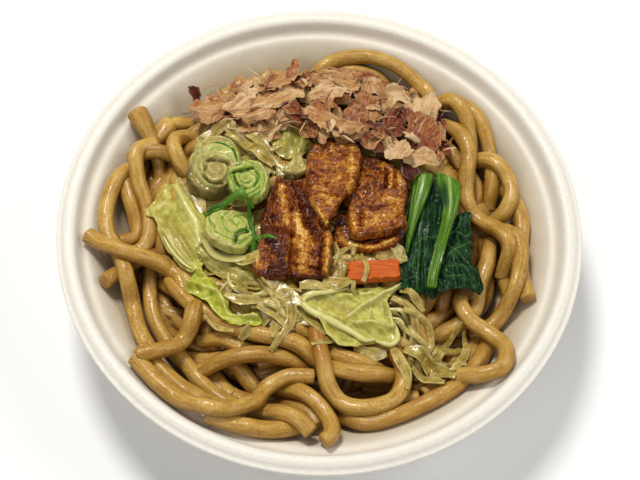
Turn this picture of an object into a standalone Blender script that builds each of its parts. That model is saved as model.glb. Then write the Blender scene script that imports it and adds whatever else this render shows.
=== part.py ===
"""Yaki udon: thick fried noodles in a round takeaway tray, topped with pork, vegetables and bonito flakes.

The tray is a turned foam dish. Its food is laid the way it is served: a bed, the toppings on the bed, the
noodles round and under them, and last the sprouts that lie on the noodles. A height map of what is already
in the tray says where each new piece comes to rest.

Lengths are in millimetres until mesh_object() turns them into metres. +Z is up, the origin is the middle of
the tray's foot, and -Y is the side that faces the eater.
"""

import math

import bmesh
import bpy
import numpy as np
from mathutils import Vector
from mathutils.bvhtree import BVHTree

MM = 0.001

# The tray
RIM_RADIUS = 93.0
RIM_HEIGHT = 39.2
LEDGE_RADIUS = 82.2
LEDGE_HEIGHT = 33.4
FLOOR_RADIUS = 52.0
FLOOR_HEIGHT = 2.4
WALL = 1.6
TRAY_STEPS = 48

# The noodle bed: a dome under the toppings and a lower ring round it, heaped towards the back left
DOME_HEIGHT = 35.0
DOME_CENTRE = (-1.0, 5.0)
DOME_RADIUS = 66.0
DOME_TOP_SHARE = 0.68
RING_HEIGHT = 23.0
RING_SLOPE = 0.045
LOW_SIDE = (0.6, -0.8)
BED_EDGE = 2.5
BED_STEPS = 32

# The clearance that every piece keeps from the tray and from the other pieces
GAP = 0.4

# Noodles and sprouts. A noodle's end is cut blunt and shows, or goes in among the noodles already there.
NOODLE_RADIUS = 2.7
NOODLE_SIDES = 6
NOODLE_PRESS = 0.8
SINK_RUN = 11.0
SHORTEST_NOODLE = 12
FILLER_NOODLES = 8
SPROUT_RADIUS = 1.1
SPROUT_SIDES = 5
SPROUT_PRESS = 0.6
BEND_TOLERANCE = 0.55

# Bonito
FLAKES = 17
FLAKE_THICKNESS = 0.8
MAT_HEIGHT = 1.8

# The height map
GRID_STEP = 1.0
GRID_HALF = 96.0
NOTHING = 1000.0

# Faces of a fused heap that bend less than this are one face
FLAT_ANGLE = math.radians(4)

SEED = 6

FREE, SUNK = "free", "sunk"

# Noodles that show on top, in the order they are laid: how each end is, and the way it lies.
TOP_NOODLES = (
    # round the left side
    (FREE, SUNK, ((-73, 44), (-69, 38), (-65.5, 31), (-62, 24), (-60, 16))),
    (SUNK, SUNK, ((-72, 24), (-64, 26), (-56, 26), (-48, 24))),
    (SUNK, SUNK, ((-73, 18), (-70, 10), (-67, 2), (-66, -5), (-72, -8))),
    (SUNK, SUNK, ((-62, 30), (-68, 25), (-67, 15), (-63, 6), (-61, -4), (-63, -11), (-69, -13.5),
                  (-75, -8), (-77, 3), (-75, 14), (-70, 22))),
    (SUNK, SUNK, ((-44, 36), (-52, 35), (-55, 28), (-51, 20), (-44, 17))),
    # down the front left
    (FREE, SUNK, ((-74, -27), (-69, -21.5), (-63, -16), (-57, -12))),
    (SUNK, SUNK, ((-65, -24), (-61.5, -31), (-60, -39), (-57, -46), (-51, -52))),
    (SUNK, SUNK, ((-57.5, -16), (-57, -27), (-54.5, -36), (-49, -45), (-42.5, -53), (-36.5, -60),
                  (-29, -66), (-20, -68))),
    (SUNK, SUNK, ((-52, -22), (-49, -27), (-44, -32), (-38, -38))),
    (SUNK, SUNK, ((-40, -43), (-31, -44), (-22, -48), (-12, -47))),
    (SUNK, SUNK, ((-40, -54), (-31, -50.5), (-22, -49), (-11, -50), (-4, -56))),
    (FREE, SUNK, ((-82, -10), (-75, -14), (-66, -17.5), (-56, -18.5), (-49, -21), (-46, -28), (-38, -35),
                  (-29, -40.5), (-18, -43.5), (-6, -46), (3, -51))),
    (FREE, SUNK, ((-59, -55), (-53, -53), (-46.5, -48.5), (-42.5, -42), (-41.5, -35), (-40, -27))),
    # along the front
    (SUNK, SUNK, ((-33, -73), (-23, -76.5), (-12, -77), (-1, -75))),
    (SUNK, SUNK, ((2, -45), (10, -49), (19, -52), (28, -51))),
    (SUNK, SUNK, ((2, -51), (11, -55), (20, -56), (30, -52))),
    (SUNK, FREE, ((-60, -55), (-49, -64), (-38, -70), (-26, -72), (-19, -68), (-15, -61), (-8, -57),
                  (1, -56.5))),
    (SUNK, SUNK, ((-12, -58), (-4, -61), (3, -66), (7.5, -73), (3, -79), (-6, -80))),
    (SUNK, SUNK, ((0, -34), (1.5, -43), (4, -52), (6, -60), (11, -66), (19, -67), (26.5, -62.5), (28.5, -55),
                  (25, -48), (18, -42))),
    (FREE, SUNK, ((22, -70), (32, -66), (42, -61.5), (50, -55), (57, -47), (62, -37))),
    # round the right side
    (SUNK, SUNK, ((37, -20), (35, -29), (36, -39), (41, -44))),
    (SUNK, SUNK, ((62, 2), (60.5, -8), (58, -16), (56, -26), (50, -33), (40, -37))),
    (FREE, SUNK, ((77, -20), (73.5, -11), (73, 0), (73, 9), (69.5, 20), (63, 28))),
    (SUNK, SUNK, ((55, -36), (63, -31), (68.5, -22), (71, -12), (71.5, -2), (66, 5), (58, 6))),
    (SUNK, SUNK, ((57, -25), (53.5, -19), (50.5, -26), (54, -33), (60.5, -38), (65.5, -44), (64, -51),
                  (57, -54), (49, -53))),
    (SUNK, SUNK, ((53, 34), (61, 31.5), (67, 25.5), (69, 18), (66, 11), (59, 9))),
    (SUNK, SUNK, ((43, 60), (51, 57), (54.5, 49), (55, 39), (52, 31))),
    (SUNK, SUNK, ((36, 59), (43, 51), (49.5, 42.5), (53, 34), (52.5, 24), (53, 15), (57, 8), (63, 3),
                  (67.5, -4), (66, -13))),
    # behind the flakes
    (SUNK, SUNK, ((-8, 66), (-3, 73), (6, 78), (15, 78), (24, 75), (32, 69), (38, 60))),
)


# ---------------------------------------------------------------- materials and mesh objects


def material(name, colour, roughness):
    made = bpy.data.materials.new(name)
    made.use_nodes = True
    shader = made.node_tree.nodes["Principled BSDF"]
    shader.inputs["Base Color"].default_value = (*colour, 1.0)
    shader.inputs["Roughness"].default_value = roughness
    shader.inputs["Metallic"].default_value = 0.0
    return made


def mesh_object(name, points, faces, finish):
    """A smooth-shaded object of these points, in millimetres."""
    mesh = bpy.data.meshes.new(name)
    mesh.from_pydata([tuple(p) for p in np.asarray(points) * MM], [], faces)
    mesh.update()
    mesh.materials.append(finish)
    mesh.shade_smooth()
    mesh.set_sharp_from_angle(angle=math.radians(50))
    made = bpy.data.objects.new(name, mesh)
    bpy.context.scene.collection.objects.link(made)
    return made


def loft(loops):
    """Points and faces of the skin over loops of equal length, its two ends closed by fans."""
    loops = np.array(loops, float)
    rings, count = loops.shape[:2]
    faces = []
    for ring in range(rings - 1):
        low, high = ring * count, (ring + 1) * count
        for i in range(count):
            j = (i + 1) % count
            faces.append((low + i, low + j, high + j, high + i))
    bottom, top = rings * count, rings * count + 1
    last = (rings - 1) * count
    for i in range(count):
        j = (i + 1) % count
        faces += [(j, i, bottom), (last + i, last + j, top)]
    points = np.concatenate([loops.reshape(-1, 3), loops[[0, -1]].mean(axis=1)])
    return points, faces


# ---------------------------------------------------------------- curves


def smooth_route(points, step, closed=False):
    """Points about a step apart on a Catmull-Rom curve through the given ones."""
    points = np.asarray(points, float)
    if closed:
        padded = np.concatenate([points[-1:], points, points[:2]])
    else:
        first, last = 2 * points[0] - points[1], 2 * points[-1] - points[-2]
        padded = np.concatenate([[first], points, [last]])
    fine = []
    for k in range(1, len(padded) - 2):
        p0, p1, p2, p3 = padded[k - 1 : k + 3]
        for t in np.linspace(0, 1, 16, endpoint=False):
            fine.append(0.5 * (2 * p1 + (p2 - p0) * t + (2 * p0 - 5 * p1 + 4 * p2 - p3) * t**2
                               + (3 * p1 - p0 - 3 * p2 + p3) * t**3))
    if not closed:
        fine.append(padded[-2])
    return evenly(np.array(fine + fine[:1] if closed else fine), step, closed)


def evenly(line, step, closed=False):
    """The same line with points about a step apart."""
    lengths = np.linalg.norm(np.diff(line, axis=0), axis=1)
    along = np.concatenate([[0], np.cumsum(lengths)])
    count = max(2, round(along[-1] / step))
    at = np.linspace(0, along[-1], count + 1)[: count if closed else None]
    return np.stack([np.interp(at, along, line[:, axis]) for axis in range(line.shape[1])], axis=1)


def thinned(line, tolerance):
    """The few of the line's points that keep it within the tolerance."""
    keep, spans = {0, len(line) - 1}, [(0, len(line) - 1)]
    while spans:
        first, last = spans.pop()
        if last - first < 2:
            continue
        chord = line[last] - line[first]
        chord /= max(np.linalg.norm(chord), 1e-6)
        off = line[first + 1 : last] - line[first]
        away = np.linalg.norm(off - np.outer(off @ chord, chord), axis=1)
        if away.max() > tolerance:
            far = first + 1 + int(away.argmax())
            keep.add(far)
            spans += [(first, far), (far, last)]
    return line[sorted(keep)]


def tube(line, radii, sides, flatten=1.0):
    """A closed tube round a line, flattened from above. Its corners stand proud, to keep the girth."""
    radii = np.broadcast_to(radii, len(line)) / math.sqrt(math.cos(math.pi / sides))
    ahead = np.gradient(line, axis=0)
    ahead /= np.linalg.norm(ahead, axis=1)[:, None]
    across = np.cross((0, 0, 1.0), ahead)
    across /= np.linalg.norm(across, axis=1)[:, None]
    above = np.cross(ahead, across)
    turn = 2 * math.pi * (np.arange(sides) + 0.5) / sides
    loops = [
        centre + radius * (np.outer(np.cos(turn), side) + flatten * np.outer(np.sin(turn), up))
        for centre, radius, side, up in zip(line, radii, across, above)
    ]
    return loft(loops)


def smoothstep(t):
    """An eased rise from 0 to 1."""
    t = np.clip(t, 0, 1)
    return t * t * (3 - 2 * t)


def moving(values, reach, pick):
    """The pick, such as the largest, of each value and its neighbours within reach."""
    padded = np.pad(values, reach, mode="edge")
    return pick([padded[k : k + len(values)] for k in range(2 * reach + 1)], axis=0)


# ---------------------------------------------------------------- the tray


def inner_profile():
    """Radius and height of the tray's inner face, from the middle of the floor to the outer lip."""
    wall_foot = FLOOR_RADIUS + 4.0
    return (
        (0, FLOOR_HEIGHT),
        (FLOOR_RADIUS - 6, FLOOR_HEIGHT),
        (FLOOR_RADIUS, FLOOR_HEIGHT + 1.0),
        (wall_foot, FLOOR_HEIGHT + 3.8),
        (LEDGE_RADIUS - 1.6, LEDGE_HEIGHT - 1.4),
        (LEDGE_RADIUS, LEDGE_HEIGHT),
        (LEDGE_RADIUS + 2.0, LEDGE_HEIGHT + 0.3),
        (LEDGE_RADIUS + 3.0, LEDGE_HEIGHT + 1.4),
        (RIM_RADIUS - 6.4, RIM_HEIGHT - 0.9),
        (RIM_RADIUS - 4.8, RIM_HEIGHT),
        (RIM_RADIUS - 2.8, RIM_HEIGHT - 0.3),
        (RIM_RADIUS - 1.5, RIM_HEIGHT - 1.4),
        (RIM_RADIUS, RIM_HEIGHT - 1.5),
    )


def outer_profile():
    """Radius and height of the tray's outer face, from the lip down to the middle of the underside."""
    return (
        (RIM_RADIUS, RIM_HEIGHT - 2.8),
        (RIM_RADIUS - 3.4, RIM_HEIGHT - 2.4),
        (RIM_RADIUS - 5.2, RIM_HEIGHT - 2.2),
        (LEDGE_RADIUS + 4.2, LEDGE_HEIGHT - 0.6),
        (LEDGE_RADIUS + 0.8, LEDGE_HEIGHT - WALL),
        (FLOOR_RADIUS + 5.4, FLOOR_HEIGHT + 1.8),
        (FLOOR_RADIUS + 1.0, 0),
        (FLOOR_RADIUS - 7, 0),
        (FLOOR_RADIUS - 8, 0.8),
        (0, 0.8),
    )


def make_tray(finish):
    """The dish, its profile turned about Z by a Screw modifier."""
    profile = inner_profile() + outer_profile()
    mesh = bpy.data.meshes.new("tray")
    points = [(radius * MM, 0, height * MM) for radius, height in profile]
    mesh.from_pydata(points, [(i, i + 1) for i in range(len(points) - 1)], [])
    mesh.materials.append(finish)
    tray = bpy.data.objects.new("tray", mesh)
    bpy.context.scene.collection.objects.link(tray)
    screw = tray.modifiers.new("turn", "SCREW")
    screw.axis = "Z"
    screw.steps = TRAY_STEPS
    screw.render_steps = TRAY_STEPS
    screw.use_merge_vertices = True
    screw.merge_threshold = 0.00005
    screw.use_smooth_shade = True
    return tray


def tray_height(x, y):
    radii, heights = zip(*inner_profile())
    return np.interp(np.hypot(x, y), radii, heights)


# ---------------------------------------------------------------- what lies in the tray


def bed_height(x, y):
    """Top of the noodle bed: a ring at the wall and a dome under the toppings."""
    ring = RING_HEIGHT - RING_SLOPE * (LOW_SIDE[0] * x + LOW_SIDE[1] * y)
    away = np.hypot(x - DOME_CENTRE[0], y - DOME_CENTRE[1]) / DOME_RADIUS
    return ring + (DOME_HEIGHT - ring) * smoothstep((1 - away) / (1 - DOME_TOP_SHARE))


def bed():
    """The noodle bed's solid: the dome and ring on top, the tray's own shape below."""
    turn = 2 * math.pi * np.arange(BED_STEPS) / BED_STEPS
    ways = np.stack([np.cos(turn), np.sin(turn)], axis=1)
    out = np.arange(FLOOR_RADIUS + 4, LEDGE_RADIUS, 0.25)
    edge = []
    for way in ways:
        x, y = np.outer(way, out)
        edge.append(out[np.argmax(bed_height(x, y) - tray_height(x, y) < BED_EDGE)])
    edge = ways * np.array(edge)[:, None]
    loops = []
    for radius in (20.0, FLOOR_RADIUS - 6, FLOOR_RADIUS, FLOOR_RADIUS + 4):
        x, y = (ways * radius).T
        loops.append(np.stack([x, y, tray_height(x, y) + 1.5 * GAP], axis=1))
    loops.append(np.column_stack([edge, tray_height(*edge.T) + 1.5 * GAP]))
    for share in (1.0, 0.92, 0.83, 0.74, 0.64, 0.5, 0.25):
        loops.append(np.column_stack([edge * share, bed_height(*(edge * share).T)]))
    return loft(loops)


class HeightMap:
    """Heights over the tray on a square grid, one number for each point."""

    axis = np.arange(-GRID_HALF, GRID_HALF + GRID_STEP / 2, GRID_STEP)
    x, y = np.meshgrid(axis, axis, indexing="ij")

    def __init__(self, heights):
        self.heights = np.array(heights, float)

    def at(self, x, y):
        """Height between grid points."""
        u = np.clip((np.asarray(x, float) + GRID_HALF) / GRID_STEP, 0, len(self.axis) - 1.001)
        v = np.clip((np.asarray(y, float) + GRID_HALF) / GRID_STEP, 0, len(self.axis) - 1.001)
        i, j = u.astype(int), v.astype(int)
        s, t = u - i, v - j
        h = self.heights
        return ((1 - s) * (1 - t) * h[i, j] + s * (1 - t) * h[i + 1, j]
                + (1 - s) * t * h[i, j + 1] + s * t * h[i + 1, j + 1])

    def rolled(self, radius, below=False):
        """Where a ball's centre comes to rest on the heights, or is stopped below them."""
        reach = int(radius / GRID_STEP)
        side, best = (-1, np.minimum) if below else (1, np.maximum)
        found = self.heights + side * radius
        for i in range(-reach, reach + 1):
            for j in range(-reach, reach + 1):
                rise = radius**2 - (i * i + j * j) * GRID_STEP**2
                if rise > 0:
                    moved = np.roll(self.heights, (i, j), axis=(0, 1))
                    found = best(found, moved + side * math.sqrt(rise))
        return HeightMap(found)

    def highest(self, reach):
        """The greatest height within reach of each point."""
        cells = math.ceil(reach / GRID_STEP)
        found = self.heights
        for i in range(-cells, cells + 1):
            for j in range(-cells, cells + 1):
                if i * i + j * j <= (cells + 0.3) ** 2:
                    found = np.maximum(found, np.roll(self.heights, (i, j), axis=(0, 1)))
        return HeightMap(found)

    def take(self, points, faces, below=False):
        """Raises the heights to the top of a piece, or lowers them to its underside."""
        points = np.asarray(points)
        tree = BVHTree.FromPolygons([Vector(p) for p in points], faces)
        low, high = points.min(axis=0), points.max(axis=0)
        start = low[2] - 5 if below else high[2] + 5
        towards = Vector((0, 0, 1 if below else -1))
        for i in np.nonzero((self.axis >= low[0] - GRID_STEP) & (self.axis <= high[0] + GRID_STEP))[0]:
            for j in np.nonzero((self.axis >= low[1] - GRID_STEP) & (self.axis <= high[1] + GRID_STEP))[0]:
                hit = tree.ray_cast(Vector((self.axis[i], self.axis[j], start)), towards)[0]
                if hit is not None:
                    best = min if below else max
                    self.heights[i, j] = best(self.heights[i, j], hit.z)


class Food:
    """What is in the tray so far: the top of it all, and the underside of the toppings."""

    def __init__(self):
        self.tray = HeightMap(tray_height(HeightMap.x, HeightMap.y))
        self.top = HeightMap(self.tray.heights)
        self.top.take(*bed())
        self.underside = HeightMap(np.full(HeightMap.x.shape, NOTHING))

    def add_topping(self, name, points, faces, finish):
        self.top.take(points, faces)
        self.underside.take(points, faces, below=True)
        return mesh_object(name, points, faces, finish)


# ---------------------------------------------------------------- toppings


def ripple(x, y, length, phase=0.0):
    """A gentle uneven wave from -1 to 1."""
    turn = 2 * math.pi / length
    return (0.5 * np.sin(turn * (x + 0.35 * y) + phase)
            + 0.3 * np.sin(turn * (0.6 * y - 0.8 * x) + 2.1 * phase)
            + 0.2 * np.sin(2.3 * turn * y + 0.7 * phase))


def resting_plane(food, x, y):
    """The plane on which a stiff piece with these places under it lies lowest, as a function of the place."""
    heights = food.top.highest(1.5).at(x, y)
    middle = np.array([x.mean(), y.mean()])
    places = np.stack([x, y]) - middle[:, None]
    steps = np.stack(np.meshgrid(np.linspace(-1, 1, 9), np.linspace(-1, 1, 9)), axis=2).reshape(-1, 2)
    slopes = np.zeros(2)
    for span in (0.16, 0.04, 0.01):
        tries = slopes + span * steps
        slopes = tries[(heights - tries @ places).max(axis=1).argmin()]
    rise = (heights - slopes @ places).max() + GAP
    return lambda u, v: slopes[0] * (u - middle[0]) + slopes[1] * (v - middle[1]) + rise


def shrunk(outline, share):
    """The outline drawn in to a share of its size about its middle."""
    middle = outline.mean(axis=0)
    return middle + (outline - middle) * share


def closed_outline(corners, steps):
    """A rounded outline through the corners, given counterclockwise, with this many points."""
    fine = smooth_route(corners, 0.5, closed=True)
    return fine[np.linspace(0, len(fine), steps, endpoint=False).astype(int)]


def slab(food, name, corners, thickness, finish, relief=0.5, wave=9.0, steps=16, crown=0.2):
    """A thick slice with rounded edges and an uneven top, resting as one stiff piece."""
    outline = closed_outline(corners, steps)
    inside = np.concatenate([shrunk(outline, share) for share in (1.0, 0.8, 0.6, 0.4, 0.2)])
    plane = resting_plane(food, *inside.T)
    levels = ((0.5, 0.0), (0.92, 0.03), (1.0, 0.45), (0.93, 0.88), (0.66, 1.0), (0.33, 1.0 + crown))
    loops = []
    for share, rise in levels:
        x, y = shrunk(outline, share).T
        bumps = relief * ripple(x, y, wave, phase=len(name)) if rise > 0.5 else 0
        loops.append(np.stack([x, y, plane(x, y) + thickness * rise + bumps], axis=1))
    return food.add_topping(name, *loft(loops), finish)


def skin(x, y, low, high):
    """Points and faces of a closed sheet over a grid of places, its two faces split into triangles alike."""
    rows = np.arange(x.size).reshape(x.shape)
    faces = []
    for i in range(rows.shape[0] - 1):
        for j in range(rows.shape[1] - 1):
            a, b, c, d = rows[i, j], rows[i + 1, j], rows[i + 1, j + 1], rows[i, j + 1]
            faces += [(a, b, c), (a, c, d)] if (i + j) % 2 else [(a, b, d), (b, c, d)]
    faces += [tuple(x.size + k for k in reversed(face)) for face in faces]
    rim = [*rows[0, ::-1], *rows[1:, 0], *rows[-1, 1:], *rows[-2:0:-1, -1]]
    for a, b in zip(rim, rim[1:] + rim[:1]):
        faces.append((b, a, a + x.size, b + x.size))
    grids = [np.stack([x, y, z], axis=2).reshape(-1, 3) for z in (high, low)]
    return np.concatenate(grids), faces


def leaf(food, name, route, half_widths, thickness, finish, ruffle=1.0, wave=11.0, across=5, spans=0.0):
    """A limp leaf with ruffled edges, draped over the food along a route. It bridges dips within its span."""
    step = 6.0
    middle = smooth_route(route, step)
    ahead = np.gradient(middle, axis=0)
    ahead /= np.linalg.norm(ahead, axis=1)[:, None]
    side = np.stack([-ahead[:, 1], ahead[:, 0]], axis=1)
    half = np.interp(np.linspace(0, 1, len(middle)), np.linspace(0, 1, len(half_widths)), half_widths)
    offsets = np.linspace(-1, 1, across)
    spots = middle[:, None] + side[:, None] * (half[:, None] * offsets)[:, :, None]
    x, y = spots[..., 0], spots[..., 1]
    reach = 0.5 * math.hypot(step, 2 * half.max() / (across - 1)) + spans
    lift = ruffle * (1 + ripple(x, y, wave, phase=len(name))) * (0.25 + 0.75 * np.abs(offsets))
    low = food.top.highest(reach).at(x, y) + GAP + lift
    return food.add_topping(name, *skin(x, y, low, low + thickness), finish)


def leek_slice(food, name, centre, radii, height, finish, layers, steps=16):
    """A slice across a leek, whose layers stand up as rings. Each layer is a share of its size and height."""
    turn = 2 * math.pi * np.arange(steps) / steps
    shape = np.stack([np.cos(turn) * radii[0], np.sin(turn) * radii[1]], axis=1) + centre
    inside = np.concatenate([shrunk(shape, share) for share in (1.0, 0.75, 0.5, 0.25)])
    plane = resting_plane(food, *inside.T)
    loops = []
    for share, rise in ((0.5, 0.0), (1.0, 0.0), *layers):
        x, y = shrunk(shape, share).T
        loops.append(np.stack([x, y, plane(x, y) + height * rise], axis=1))
    return food.add_topping(name, *loft(loops), finish)


def stalk(food, name, route, radii, finish, sides=8, flatten=0.7, step=5.0):
    """A stem or a strip that lies along the food."""
    line = smooth_route(route, 1.0)
    wide = np.interp(np.linspace(0, 1, len(line)), np.linspace(0, 1, len(radii)), radii)
    heights = food.top.highest(max(radii) + 0.5).at(*line.T) + 1.1 * wide * flatten + GAP
    heights = moving(moving(heights, 5, np.max), 4, np.mean)
    line = evenly(np.column_stack([line, heights, wide]), step)
    return food.add_topping(name, *tube(line[:, :3], line[:, 3], sides, flatten), finish)


def add_cabbage(food, finish):
    leaf(food, "cabbage_left", ((-54, 15), (-53, 5), (-50, -6), (-45, -20)), (3, 8.5, 9, 7, 4), 1.6, finish,
         spans=2)
    leaf(food, "cabbage_middle", ((-42, -15), (-34, -18), (-26, -21), (-18, -25)), (3, 5, 5, 3), 1.4, finish,
         ruffle=0.8, across=4)
    leaf(food, "cabbage_front_left", ((-46, -23), (-38, -28), (-31, -33), (-19, -38)), (3, 4.5, 4.5, 3), 1.5,
         finish, ruffle=1.1, wave=9.0, across=4)
    leaf(food, "cabbage_front", ((-5, -30), (6, -32), (17, -34), (30, -38)), (3, 8, 10, 10, 6), 1.8, finish,
         ruffle=1.4, wave=14.0)
    leaf(food, "cabbage_back", ((-13, 40), (-13, 34), (-11, 26)), (5, 6.5, 4), 1.6, finish, ruffle=0.8)


def add_greens(food, leaf_finish, stem_finish):
    leaf(food, "greens_leaf_left", ((38, 19), (37.5, 4), (37, -12), (36, -28)), (5, 6.5, 7, 6), 1.6,
         leaf_finish, ruffle=0.8, spans=3)
    leaf(food, "greens_leaf_right", ((51, 5), (52, -8), (50.5, -26)), (4, 5.5, 7, 5), 1.6, leaf_finish,
         spans=7)
    stalk(food, "greens_stem_left", ((35, 21), (33, 8), (31.5, -6)), (2.4, 2.0, 1.2), stem_finish, sides=6)
    stalk(food, "greens_stem_right", ((46.5, 17), (44, -3), (40, -28)), (3.8, 3.0, 2.2), stem_finish)


def add_pork(food, finish):
    slab(food, "pork_under", ((17, -10), (26, -9), (30, -3), (28, 3), (17, 4), (6, 2), (6, -4), (9, -9)), 2.5,
         finish, relief=0.2, crown=0)
    left_outline = ((-23, -20), (-19, -25), (-9, -23), (1, -22), (4, -16), (3, -6), (-3, 5), (-4, 14),
                    (-10, 17), (-17, 16), (-19, 8), (-21, -3), (-20, -10))
    slab(food, "pork_left", left_outline, 6.5, finish, relief=0.9, wave=8.0, steps=24)
    slab(food, "pork_slice", ((10, 0), (12, -5), (18, -6), (25, -5), (28, 0), (26, 4), (21, 6), (13, 5)), 4.0,
         finish, relief=0.6)
    slab(food, "pork_round", ((10, 10), (18, 9), (27, 10), (29, 14), (26, 21), (18, 24), (10, 22)), 7.5,
         finish)
    slab(food, "pork_top", ((-4, 9), (0, 1), (4, -3), (8, 6), (13, 15), (12, 26), (4, 28), (-5, 24)), 4.5,
         finish, relief=0.6, crown=0.1)


def add_carrot(food, finish):
    slab(food, "carrot_slice", ((11, -25), (19, -24.5), (28, -23), (27.5, -15.5), (19, -16), (10.5, -16.5)),
         3.6, finish, relief=0.1, steps=12)


def add_leek(food, finish):
    rings = ((1.0, 0.8), (0.9, 1.0), (0.76, 0.7), (0.62, 1.05), (0.48, 0.75), (0.32, 1.0))
    leek_slice(food, "leek_big", (-39, 19), (9, 13.5), 6.0, finish, rings)
    leek_slice(food, "leek_pale", (-32.5, -6.5), (8.2, 8), 4.5, finish, ((1.0, 0.7), (0.9, 1.0), (0.5, 1.1)))
    leek_slice(food, "leek_green", (-26.5, 9.5), (6.5, 7), 4.5, finish,
               ((1.0, 0.7), (0.9, 1.0), (0.6, 0.8), (0.35, 0.5)))
    slab(food, "leek_chip", ((-14, 19.5), (-8.5, 19.5), (-7.5, 23), (-10.5, 28)), 2.2, finish, relief=0.1,
         steps=8)


# ---------------------------------------------------------------- heaps, each fused into one solid


def outer_shell(mesh):
    """Removes all but the largest closed surface, which are hollows that fusing seals and loose scraps."""
    grid = bmesh.new()
    grid.from_mesh(mesh)
    left, biggest = set(grid.faces), set()
    while left:
        shell, edge = set(), [next(iter(left))]
        while edge:
            face = edge.pop()
            if face not in shell:
                shell.add(face)
                edge += [other for link in face.edges for other in link.link_faces if other not in shell]
        left -= shell
        biggest = max(biggest, shell, key=len)
    bmesh.ops.delete(grid, geom=[face for face in grid.faces if face not in biggest], context="FACES")
    bmesh.ops.dissolve_limit(grid, angle_limit=FLAT_ANGLE, verts=grid.verts, edges=grid.edges)
    bmesh.ops.triangulate(grid, faces=grid.faces)
    grid.to_mesh(mesh)
    grid.free()


def fuse(name, core, pieces, finish):
    """One solid of a core and the pieces on it."""
    body = mesh_object(name, *core, finish)
    parts = bpy.data.collections.new(name + "_pieces")
    bpy.context.scene.collection.children.link(parts)
    for number, (points, faces) in enumerate(pieces):
        piece = mesh_object(f"{name}_piece_{number}", points, faces, finish)
        bpy.context.scene.collection.objects.unlink(piece)
        parts.objects.link(piece)
    union = body.modifiers.new("join", "BOOLEAN")
    union.operation = "UNION"
    union.operand_type = "COLLECTION"
    union.collection = parts
    union.solver = "MANIFOLD"
    joined = bpy.data.meshes.new_from_object(body.evaluated_get(bpy.context.evaluated_depsgraph_get()))
    body.modifiers.clear()
    body.data = joined
    for piece in list(parts.objects):
        bpy.data.objects.remove(piece)
    bpy.data.collections.remove(parts)
    outer_shell(joined)
    return body


def longest_run(wanted):
    """The slice that spans the most neighbours that are all true."""
    edges = np.flatnonzero(np.diff(np.concatenate([[0], wanted.astype(int), [0]])))
    starts, stops = edges[::2], edges[1::2]
    if not len(starts):
        return slice(0, 0)
    best = (stops - starts).argmax()
    return slice(starts[best], stops[best])


def laid(route, ends, radius, press, own, floor, ceiling):
    """The line a strand takes: on and pressed into its own heap, and cut off where it has no room to pass."""
    line = smooth_route(route, 1.0)
    x, y = line.T
    heights = own.rolled(radius).at(x, y) - press
    within = moving(np.maximum(own.at(x, y), floor.at(x, y)), 4, np.mean) - 1.3 * radius
    along = np.arange(len(line), dtype=float)
    for end, way in zip(ends, (along, along[::-1])):
        if end == SUNK:
            heights = np.minimum(heights, within + (heights - within) * smoothstep(way / SINK_RUN))
    low = floor.rolled(radius + GAP + BEND_TOLERANCE).at(x, y)
    high = ceiling.rolled(radius + GAP + BEND_TOLERANCE, below=True).at(x, y)
    heights = moving(moving(np.maximum(heights, low), 3, np.max), 3, np.mean)
    for _ in range(3):
        heights = np.minimum(moving(np.minimum(heights, high), 2, np.mean), high)
    return np.column_stack([line, np.maximum(heights, low)])[longest_run(low <= high)]


def filler_routes(draw):
    """Noodles that wander round the ring between the dome and the wall, under those that show on top."""
    inner, outer = 50.0, 72.0
    routes = []
    for k in range(FILLER_NOODLES):
        angle = 2 * math.pi * (k + draw.uniform(0, 0.6)) / FILLER_NOODLES
        spot = draw.uniform(inner + 3, outer - 3) * np.array([math.cos(angle), math.sin(angle)])
        heading = angle + math.pi / 2 + draw.uniform(-0.9, 0.9)
        route = [spot]
        for _ in range(int(draw.integers(4, 7))):
            spot = spot + 9.0 * np.array([math.cos(heading), math.sin(heading)])
            away = math.hypot(*spot)
            wanted = math.atan2(spot[1], spot[0]) + math.pi / 2 + (2 * away - inner - outer) / 44
            off = (wanted - heading + math.pi) % (2 * math.pi) - math.pi
            heading += 0.55 * off + draw.uniform(-0.45, 0.45)
            route.append(spot * min(1.0, outer / away))
        routes.append((SUNK, SUNK, np.array(route)))
    return routes


def make_noodles(food, finish):
    """The heap of noodles: the bed with strands fused on, each laid over the ones before."""
    own = HeightMap(np.full(HeightMap.x.shape, -NOTHING))
    own.take(*bed())
    strands = []
    for first, last, route in filler_routes(np.random.default_rng(SEED)) + list(TOP_NOODLES):
        line = laid(route, (first, last), NOODLE_RADIUS, NOODLE_PRESS, own, food.tray, food.underside)
        if len(line) < SHORTEST_NOODLE:
            continue
        shape = tube(thinned(line, BEND_TOLERANCE), NOODLE_RADIUS, NOODLE_SIDES)
        own.take(*shape)
        strands.append(shape)
    noodles = fuse("noodles", bed(), strands, finish)
    food.top.heights = np.maximum(food.top.heights, own.heights)
    return noodles


def make_sprouts(food, name, routes, finish):
    """A tangle of bean sprouts that lies on the rest, each sprout pressed into the ones before."""
    own = HeightMap(np.full(HeightMap.x.shape, -NOTHING))
    open_air = HeightMap(np.full(HeightMap.x.shape, NOTHING))
    strands = []
    for route in routes:
        line = laid(route, (FREE, FREE), SPROUT_RADIUS, SPROUT_PRESS, own, food.top, open_air)
        line = thinned(line, BEND_TOLERANCE)
        taper = np.interp(np.linspace(0, 1, len(line)), (0, 0.15, 0.8, 1), (0.8, 1, 1, 0.6))
        strands.append(tube(line, SPROUT_RADIUS * taper, SPROUT_SIDES))
        own.take(*strands[-1])
    food.top.heights = np.maximum(food.top.heights, own.heights)
    return fuse(name, strands[0], strands[1:], finish)


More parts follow.
